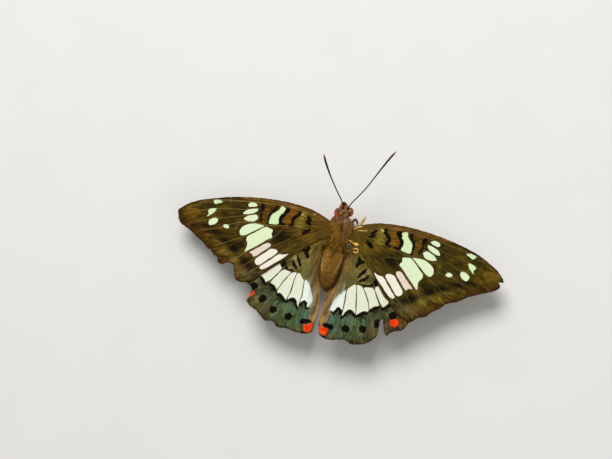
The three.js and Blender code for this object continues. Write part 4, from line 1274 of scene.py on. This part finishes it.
for side_name, centre in EYES.items():
    globe = bmesh.new()
    bmesh.ops.create_uvsphere(globe, u_segments=48, v_segments=32, radius=1.0)
    globe.verts.ensure_lookup_table()
    way = np.array([vert.co[:] for vert in globe.verts])
    outward = way[:, 0] * SIDES[side_name]
    # Painted red-orange highlight on the eye's rear and upper side.
    rear = ease(0.1, 0.45, way[:, 1] * 0.75 + outward * 0.6 - 0.15) * EYE_RED_HIGHLIGHT[side_name]
    rear *= 0.3 + 0.7 * ease(-0.1, 0.35, way[:, 2])
    globe.transform(Matrix.Translation(centre) @ Matrix.Diagonal((*EYE_HALF, 1.0)))
    globe_mesh = smooth_mesh(globe, "eye_" + side_name)
    put_field(globe_mesh, "rim", ease(0.5, 1.0, outward) * 0.75)
    put_field(globe_mesh, "blush", rear)
    eye = add_object("eyeball_" + side_name, globe_mesh, eye_material)
    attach(eye, "root")
    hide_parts("eye_" + side_name)


# ---------------------------------------------------------------------------------------
# Feelers: thin ringed stalks of horn-like skin that swell slowly into a slim club with an
# orange-brown tip; each springs from a round socket on the brow.
FEELERS = {
    "left": [(0.67, -6.2, 6.6), (1.01, -7.41, 8.71), (2.03, -8.74, 11.18), (3.52, -10.88, 14.65),
             (4.8, -13.2, 17.48), (5.54, -14.82, 18.5)],
    "right": [(-0.2, -6.25, 6.6), (-1.13, -7.84, 7.47), (-2.35, -9.44, 7.98), (-4.0, -11.8, 8.67),
              (-6.02, -15.39, 9.58), (-7.91, -18.71, 10.3), (-9.11, -20.6, 10.6)],
}
FEELER_RINGS = 44
FEELER_HALF, CLUB_HALF, SOCKET_HALF = 0.14, 0.23, 0.16

feeler_finish = Finish("feeler_rings", 0.55, 0.15)
feeler_grain = feeler_finish.noise(feeler_finish.place(), 9000.0, 2.0)
feeler_colour = feeler_finish.mix(feeler_finish.field("tip"), daylight(32, 26, 16),
                                  daylight(196, 84, 30))
feeler_colour = feeler_finish.mix(feeler_finish.step(feeler_grain, 0.4, 0.7, 0.0, 0.35), feeler_colour,
                                  daylight(84, 62, 36))
feeler_material = feeler_finish.wear(feeler_colour, feeler_finish.relief(feeler_grain, 0.00001, 0.6))
for side_name, line in FEELERS.items():
    stalk = bmesh.new()
    steps = FEELER_RINGS * 4
    path = evenly(flowing(line, 12, False), steps + 1, False)
    share = np.linspace(0, 1, steps + 1)
    half = FEELER_HALF + (CLUB_HALF - FEELER_HALF) * ease(0.5, 0.88, share)
    half = half * (1 + 0.07 * np.cos(2 * math.pi * share * FEELER_RINGS))
    half += SOCKET_HALF * close_to(share, 0.02, 0.02)
    half *= np.sqrt(np.clip((1 - share) / 0.08, 0, 1)) * np.sqrt(np.clip(share * steps / 2, 0, 1))
    drawn_through(stalk, path, np.column_stack((half, half)), 10)
    bmesh.ops.recalc_face_normals(stalk, faces=stalk.faces)
    stalk.verts.ensure_lookup_table()
    from_tip = np.linalg.norm(np.array([vert.co[:] for vert in stalk.verts]) - np.array(line[-1]), axis=1)
    stalk_mesh = smooth_mesh(stalk, "feeler_" + side_name)
    put_field(stalk_mesh, "tip", 1 - ease(0.2, 0.8, from_tip))
    feeler = add_object("feeler_" + side_name, stalk_mesh, feeler_material)
    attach(feeler, "root")
    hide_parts("antenna_" + side_name)


# ---------------------------------------------------------------------------------------
# Tongue: a thin dark sucking tube that springs from the mouth and is wound up tight under
# it, between the palps. Each turn lies inside the last.
TONGUE_AT, TONGUE_ROOT = (0.7, -6.5, 3.6), [(0.68, -6.1, 4.8), (0.69, -6.05, 4.4)]
TONGUE_HALF, TONGUE_TURNS, TONGUE_START = 0.085, 2.6, 1.2
COIL_RADIUS, COIL_PITCH = 0.52, 0.165
COIL_POINTS, COIL_RINGS = 120, 160

coil = bmesh.new()
coil_turn = np.linspace(0, TONGUE_TURNS * 2 * math.pi, COIL_POINTS)
coil_radius = COIL_RADIUS - COIL_PITCH * coil_turn / (2 * math.pi)
coil_path = np.column_stack((
    np.full(COIL_POINTS, TONGUE_AT[0]),
    TONGUE_AT[1] + coil_radius * np.sin(coil_turn + TONGUE_START),
    TONGUE_AT[2] + coil_radius * np.cos(coil_turn + TONGUE_START),
))
coil_path = evenly(np.vstack((np.array(TONGUE_ROOT), coil_path)), COIL_RINGS, False)
ring = np.arange(COIL_RINGS)
coil_half = TONGUE_HALF * np.sqrt(np.clip(np.minimum(ring, ring[::-1]) / 3, 0, 1))
drawn_through(coil, coil_path, np.column_stack((coil_half, coil_half)), 8, (1.0, 0.0, 0.0))
bmesh.ops.recalc_face_normals(coil, faces=coil.faces)
coil_mesh = smooth_mesh(coil, "tongue")
tongue_finish = Finish("tongue_tube", 0.4, 0.3)
tongue_grain = tongue_finish.noise(tongue_finish.place(), 12000.0, 2.0)
tongue_colour = tongue_finish.mix(tongue_grain, daylight(52, 32, 18), daylight(112, 74, 40))
tongue = add_object("tongue_coil", coil_mesh,
                    tongue_finish.wear(tongue_colour, tongue_finish.relief(tongue_grain, 0.00001)))
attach(tongue, "root")
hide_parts("proboscis")


# ---------------------------------------------------------------------------------------
# Wing hinge: where the hair is rubbed off behind the right forewing's root, the bare dark
# beaded skin shows, with the pale cord of the wing's edge, a golden hinge plate and a loop.
BARE_AT, BARE_HALF = (-2.32, 1.85, 6.15), (0.95, 0.62, 0.42)
BEADS = 60
BEAD_CORNERS = 12
HINGE_CORD = [(-2.0, 0.95, 6.3), (-2.28, 0.8, 6.62), (-2.6, 0.95, 6.7), (-3.1, 1.2, 6.7),
              (-3.6, 1.45, 6.62)]
PLATE_AT, PLATE_HALF = (-3.95, 1.42, 6.6), (0.55, 0.44, 0.28)
LOOP_AT, LOOP_HALF, LOOP_TUBE = (-4.1, 2.8, 6.4), 0.5, 0.18

bare = bmesh.new()
ball(bare, BARE_AT, BARE_HALF, 32)
ground_verts = len(bare.verts)
beads = np.random.default_rng(5)
for _ in range(BEADS):
    turn, rise = beads.uniform(0, 2 * math.pi), beads.uniform(0.15, 1.0)
    level = math.sqrt(1 - rise * rise)
    way = np.array((level * math.cos(turn), level * math.sin(turn), rise))
    spot = np.array(BARE_AT) + way * np.array(BARE_HALF)
    place = Matrix.Translation(spot) @ Matrix.Scale(beads.uniform(0.06, 0.13), 4)
    bmesh.ops.create_icosphere(bare, subdivisions=1, radius=1.0, matrix=place)
bmesh.ops.recalc_face_normals(bare, faces=bare.faces)
bare_mesh = smooth_mesh(bare, "bare_skin")
in_beads = np.arange(len(bare_mesh.vertices)) - ground_verts
paleness = beads.uniform(0.2, 1.0, BEADS)[in_beads // BEAD_CORNERS % BEADS]
put_field(bare_mesh, "bead", (in_beads >= 0) * paleness)
bare_finish = Finish("bare_skin", 0.5, 0.25)
bare_grain = bare_finish.noise(bare_finish.place(), 5000.0, 2.0)
bare_colour = bare_finish.mix(bare_finish.step(bare_grain, 0.4, 0.65), daylight(22, 14, 10),
                              daylight(66, 50, 36))
bare_colour = bare_finish.mix(bare_finish.field("bead"), bare_colour, daylight(176, 142, 84))
bare_piece = add_object("bare_skin_patch", bare_mesh,
                        bare_finish.wear(bare_colour, bare_finish.relief(bare_grain, 0.00001)))

plates = bmesh.new()
ball(plates, PLATE_AT, PLATE_HALF, 20)
loop_turn = np.linspace(0.2, 2 * math.pi - 0.2, 12)
loop_line = [(LOOP_AT[0] + LOOP_HALF * math.cos(t), LOOP_AT[1] + LOOP_HALF * math.sin(t), LOOP_AT[2])
             for t in loop_turn]
rod_through(plates, loop_line, (LOOP_TUBE, LOOP_TUBE, LOOP_TUBE), 10, 40)
rod_through(plates, HINGE_CORD, (0.1, 0.13, 0.14, 0.12, 0.12, 0.15), 10, 40)
bmesh.ops.recalc_face_normals(plates, faces=plates.faces)
plate_mesh = smooth_mesh(plates, "hinge_plates")
plate_finish = Finish("hinge_plates", 0.4, 0.4)
plate_grain = plate_finish.noise(plate_finish.place(), 2400.0, 3.0)
plate_colour = plate_finish.mix(plate_finish.step(plate_grain, 0.4, 0.62), daylight(240, 186, 66),
                                daylight(176, 124, 66))
plate_piece = add_object("hinge_plates_right", plate_mesh,
                         plate_finish.wear(plate_colour, plate_finish.relief(plate_grain, 0.00002)))
for piece in (bare_piece, plate_piece):
    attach(piece, "root")


# ---------------------------------------------------------------------------------------
# Coat: long soft hair on the thorax, short hair on head, palps, abdomen and legs, and fans
# of hair on the wing roots. Every lock is a thin closed blade planted on the skin.
def lock_shape(cuts):
    """One straight three-sided lock, one unit long, standing on its root."""
    lock = bmesh.new()
    bmesh.ops.create_cone(lock, cap_ends=True, segments=3, radius1=1.0, radius2=0.0, depth=1.0)
    bmesh.ops.translate(lock, verts=lock.verts, vec=(0, 0, 0.5))
    for k in range(1, cuts + 1):
        everything = list(lock.verts) + list(lock.edges) + list(lock.faces)
        bmesh.ops.bisect_plane(lock, geom=everything, plane_co=(0, 0, k / (cuts + 1)), plane_no=(0, 0, 1))
    bmesh.ops.triangulate(lock, faces=lock.faces)
    lock.verts.ensure_lookup_table()
    shape = np.array([vert.co[:] for vert in lock.verts])
    shape[:, :2] *= (1 + 0.6 * shape[:, 2:])
    faces = np.array([[vert.index for vert in face.verts] for face in lock.faces])
    lock.free()
    return shape, faces


LONG_LOCK, SHORT_LOCK = lock_shape(2), lock_shape(1)
# Size of the patch that each lock has on its piece's unwrapped sheet.
TUFT_PATCH = 0.003
# How far a lock sags over its length, how thick it is for its width and how deep it is set.
LOCK_BEND, LOCK_THICK, LOCK_SET = 0.25, 0.6, 0.02


def plant(name, lock, roots, lie, up, length, width, lift, tone, unwrap):
    """Plants a lock at each root, leaning along its lie, and joins them all in one piece."""
    shape, faces = lock
    count, size = len(roots), len(shape)
    lie = lie - (lie * up).sum(axis=1)[:, None] * up
    lie /= np.maximum(np.linalg.norm(lie, axis=1), 1e-9)[:, None]
    beside = np.cross(lie, up)
    sx, sy, sz = shape.T
    rise = sy * width[:, None] * LOCK_THICK - LOCK_SET
    rise += (sz - LOCK_BEND * sz ** 2) * (lift * length)[:, None]
    places = (
        roots[:, None, :] + beside[:, None, :] * (sx * width[:, None])[..., None]
        + up[:, None, :] * rise[..., None] + lie[:, None, :] * (sz * length[:, None])[..., None]
    ).reshape(-1, 3)
    index = (faces[None] + (np.arange(count) * size)[:, None, None]).reshape(-1, 3)
    mesh = bpy.data.meshes.new(name)
    mesh.vertices.add(len(places))
    mesh.vertices.foreach_set("co", places.astype(np.float32).ravel())
    mesh.loops.add(index.size)
    mesh.loops.foreach_set("vertex_index", index.astype(np.int32).ravel())
    mesh.polygons.add(len(index))
    mesh.polygons.foreach_set("loop_start", np.arange(0, index.size, 3, dtype=np.int32))
    mesh.update(calc_edges=True)
    patch = np.stack((sx * 0.5 + 0.5, sz), axis=1) * TUFT_PATCH
    chart = (unwrap[:, None, :] + patch[None]).reshape(-1, 2)
    layer = mesh.uv_layers.new(name="OFBake")
    layer.uv.foreach_set("vector", chart[index.ravel()].astype(np.float32).ravel())
    mesh.transform(TO_METRES)
    put_field(mesh, "ground", np.repeat(tone, size, axis=0))
    put_field(mesh, "height", np.tile(sz, count))
    mesh.shade_smooth()
    piece = add_object(name, mesh, hair_material)
    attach(piece, "root")


hair_finish = Finish("hair", 0.65, 0.1)
hair_blend = hair_finish.noise(hair_finish.place(), 2600.0, 2.0)
hair_ground = hair_finish.field("ground", "Color")
hair_shade = hair_finish.calc("MULTIPLY", hair_finish.step(hair_blend, 0.3, 0.7, 0.78, 1.2),
                              hair_finish.step(hair_finish.field("height"), 0.0, 1.0, 0.8, 1.25))
hair_strand = hair_finish.noise(hair_finish.place(), 14000.0, 2.0)
hair_material = hair_finish.wear(hair_finish.scaled(hair_ground, hair_shade),
                                 hair_finish.relief(hair_strand, 0.00001, 0.5))
chance = np.random.default_rng(7)

skin_mesh.calc_loop_triangles()
skin_triangles = np.empty(len(skin_mesh.loop_triangles) * 3, dtype=np.int32)
skin_mesh.loop_triangles.foreach_get("vertices", skin_triangles)
corner = skin_places[skin_triangles.reshape(-1, 3)]
skin_up = np.cross(corner[:, 1] - corner[:, 0], corner[:, 2] - corner[:, 0])
skin_area = np.linalg.norm(skin_up, axis=1)
skin_up /= np.maximum(skin_area, 1e-12)[:, None]
x, y, z = corner.mean(axis=1).T
off = np.abs(x - spine_x(y))
on_leg = ((off > 2.75) & (z < 5.0)) | (z < 2.9) | ((off > 2.1) & (y < -3.2) & (z < 5.6))
clear_of_eyes = np.ones(len(x))
for centre in EYES.values():
    gap = np.linalg.norm((corner.mean(axis=1) - centre) / (np.array(EYE_HALF) + 0.03), axis=1)
    clear_of_eyes *= gap > 1.0
bare_gap = np.linalg.norm((corner.mean(axis=1) - BARE_AT) / (np.array(BARE_HALF) + 0.25), axis=1)


# Where the unwrapped sheet of the body's hair starts along y, and how long it is.
SHEET_FROM, SHEET_LONG = -9.0, 23.0


def cover(name, lock, count, share, lie, spread, length, width, lift, contrast):
    """Plants locks at random over the part of the skin that share names."""
    weight = skin_area * share
    pick = chance.choice(len(weight), size=count, p=weight / weight.sum())
    roots = (corner[pick] * chance.dirichlet((1, 1, 1), count)[..., None]).sum(axis=1)
    away = lie(roots) + chance.normal(0, spread, (count, 3))
    tone = body_tone(roots) * chance.uniform(1 - contrast, 1 + contrast, count)[:, None]
    x, y, z = roots.T
    turn = np.arctan2(x - spine_x(y), z - ABDOMEN_Z) / (2 * math.pi) + 0.5
    unwrap = 0.01 + 0.97 * np.column_stack((turn, (y - SHEET_FROM) / SHEET_LONG))
    stand = chance.uniform(*lift, count) * (1 + 0.8 * clinging(roots))
    plant(name, lock, roots, away, skin_up[pick], chance.uniform(*length, count),
          chance.uniform(*width, count), stand, tone, unwrap)


def rearward(roots):
    """The lie of hair on the back: to the rear, fanning out a little over the thorax."""
    fan = HAIR_FAN * (roots[:, 0] - spine_x(roots[:, 1]))
    return np.column_stack((fan * (roots[:, 1] < 3.0), np.ones(len(roots)), np.zeros(len(roots))))


def down_face(roots):
    """The lie of hair on the head: to the rear, and forward along the palps."""
    on_palp = ease(6.2, 6.6, -roots[:, 1])
    return np.column_stack((0.3 * (roots[:, 0] - HEAD_AT[0]), 0.9 - 2.2 * on_palp, 0.3 + 0.3 * on_palp))


def down_leg(roots):
    """The lie of hair on the legs: down and outward, flat along the feet."""
    low = roots[:, 2] < 0.6
    return np.column_stack((0.5 * np.sign(roots[:, 0]), 0.2 * np.sign(roots[:, 1]), np.where(low, 0.1, -0.8)))


trunk_share = ~on_leg * (bare_gap > 1.0)
front = -4.6 + 0.45 * ease(0.6, 1.0, x - spine_x(y))
thorax_share = trunk_share * ease(0.0, 0.3, y - front) * (1 - ease(3.3, 4.1, y))
head_share = ~on_leg * (y < -4.3) * (z > 3.7) * clear_of_eyes
cover("coat_thorax", LONG_LOCK, 12400, thorax_share, rearward, spread=0.14, length=(0.7, 1.7),
      width=(0.026, 0.05), lift=(0.06, 0.26), contrast=0.3)
cover("coat_abdomen", SHORT_LOCK, 14500, trunk_share * ease(3.5, 4.2, y), rearward, spread=0.14,
      length=(0.3, 0.65), width=(0.024, 0.04), lift=(0.04, 0.14), contrast=0.24)
cover("coat_head", SHORT_LOCK, 8500, head_share, down_face, spread=0.4, length=(0.14, 0.3),
      width=(0.024, 0.046), lift=(0.3, 0.9), contrast=0.3)
cover("coat_legs", SHORT_LOCK, 3600, on_leg * (z > 0.25), down_leg, spread=0.25, length=(0.1, 0.24),
      width=(0.012, 0.022), lift=(0.1, 0.4), contrast=0.4)


def wing_sheet(flat):
    """Wing measure to places on the unwrapped sheet of a wing's hair."""
    return 0.02 + 0.95 * (flat + 8.0) / 50.0


def cover_wing(wing, count, loop, length, width, lift, wash, share):
    """Hair that fans out from a wing's root over its base, in the wing's own colours."""
    loop = flowing(loop, 6, True)
    flat = chance.uniform(loop.min(axis=0), loop.max(axis=0), (count * 4, 2))
    flat = flat[depth_in(flat, loop) > 0][:count]
    roots = wing.lay(flat)
    step = np.array((0.05, 0.0)), np.array((0.0, 0.05))
    along = [wing.lay(flat + way) - wing.lay(flat - way) for way in step]
    up = np.cross(*along)
    up *= np.sign(up[:, 2:]) / np.linalg.norm(up, axis=1)[:, None]
    ahead = flat - np.array(wing.root)
    ahead /= np.linalg.norm(ahead, axis=1)[:, None]
    away = (wing.lay(flat + ahead * 0.1) - roots) * 10 + chance.normal(0, 0.1, (len(flat), 3))
    turn = 6.0 * np.arctan2(ahead[:, 1], ahead[:, 0])
    cling = 1 + 0.65 * streaks(turn, 0.2 * flat[:, 1]) + chance.uniform(-0.3, 0.3, len(flat))
    tone = blend(share(flat), wing.tone(flat), wash) * np.maximum(cling, 0.25)[:, None]
    amount = len(flat)
    plant("coat_" + wing.slot, SHORT_LOCK, roots, away, up, chance.uniform(*length, amount),
          chance.uniform(*width, amount), chance.uniform(*lift, amount), tone, wing_sheet(flat))


# Outlines of the hairy places on the wings.
FORE_HAIRY = [(1.7, -2.2), (3.6, -2.8), (5.4, -2.2), (5.6, -0.4), (5.2, 1.6), (3.4, 1.0), (2.0, 0.2)]
HIND_HAIRY = {
    "left": [(3.2, 2.2), (4.6, 3.4), (4.9, 5.0), (4.7, 7.6), (4.9, 10.4), (3.9, 11.8), (2.7, 13.6),
             (2.1, 17.6), (1.6, 19.0), (1.1, 16.0), (1.8, 13.0), (2.2, 10.0), (2.4, 5.0)],
    "right": [(3.2, 2.2), (4.6, 3.4), (4.9, 5.0), (4.7, 7.6), (4.9, 10.4), (3.9, 12.2), (2.5, 14.0),
              (1.6, 17.2), (1.0, 19.0), (0.6, 16.0), (0.1, 13.2), (0.0, 10.0), (1.4, 5.5)],
}
for wing in wings:
    if isinstance(wing, Forewing):
        cover_wing(wing, 1100, FORE_HAIRY, (0.5, 1.2), (0.02, 0.036), (0.02, 0.07),
                   daylight(142, 104, 32),
                   lambda flat: 0.7 * (1 - ease(1.0, 3.0, np.linalg.norm(flat - (1.8, -1.0), axis=1))))
    else:
        cover_wing(wing, 9000, HIND_HAIRY[wing.side_name], (0.6, 1.6), (0.018, 0.034), (0.02, 0.1),
                   daylight(172, 160, 104),
                   lambda flat: 0.6 * (chance.uniform(0, 1, len(flat)) < 0.4) * (flat[:, 1] > 4.0))


# ---------------------------------------------------------------------------------------
# Fringes: short worn scales that stand out along the outer edges of all four wings.
for wing in wings:
    rim = wing.rim
    travel = np.roll(rim, -1, axis=0) - np.roll(rim, 1, axis=0)
    travel /= np.linalg.norm(travel, axis=1)[:, None]
    outward = np.stack((travel[:, 1], -travel[:, 0]), axis=1)
    outward *= np.sign(((rim - np.array(wing.middle)) * outward).sum(axis=1))[:, None]
    outer = (rim[:, 0] > 20.0) & (rim[:, 1] > 2.0) if isinstance(wing, Forewing) else rim[:, 1] > 14.0
    pick = chance.choice(np.nonzero(outer)[0], size=2 * int(outer.sum()))
    flat = rim[pick] + travel[pick] * chance.uniform(-0.08, 0.08, len(pick))[:, None]
    roots = wing.lay(flat)
    ahead = outward[pick] + chance.normal(0, 0.25, (len(pick), 2))
    away = (wing.lay(flat + ahead * 0.1) - roots) * 10
    roots[:, 2] -= MEMBRANE / 2
    light = chance.uniform(0, 1, len(pick)) < 0.25
    tone = np.where(light[:, None], daylight(150, 128, 96), wing.tone(flat) * 0.8)
    plant("fringe_" + wing.slot, SHORT_LOCK, roots, away, np.tile((0.0, 0.0, 1.0), (len(pick), 1)),
          chance.uniform(0.1, 0.3, len(pick)), chance.uniform(0.016, 0.028, len(pick)),
          chance.uniform(-0.1, 0.1, len(pick)), tone, wing_sheet(flat))
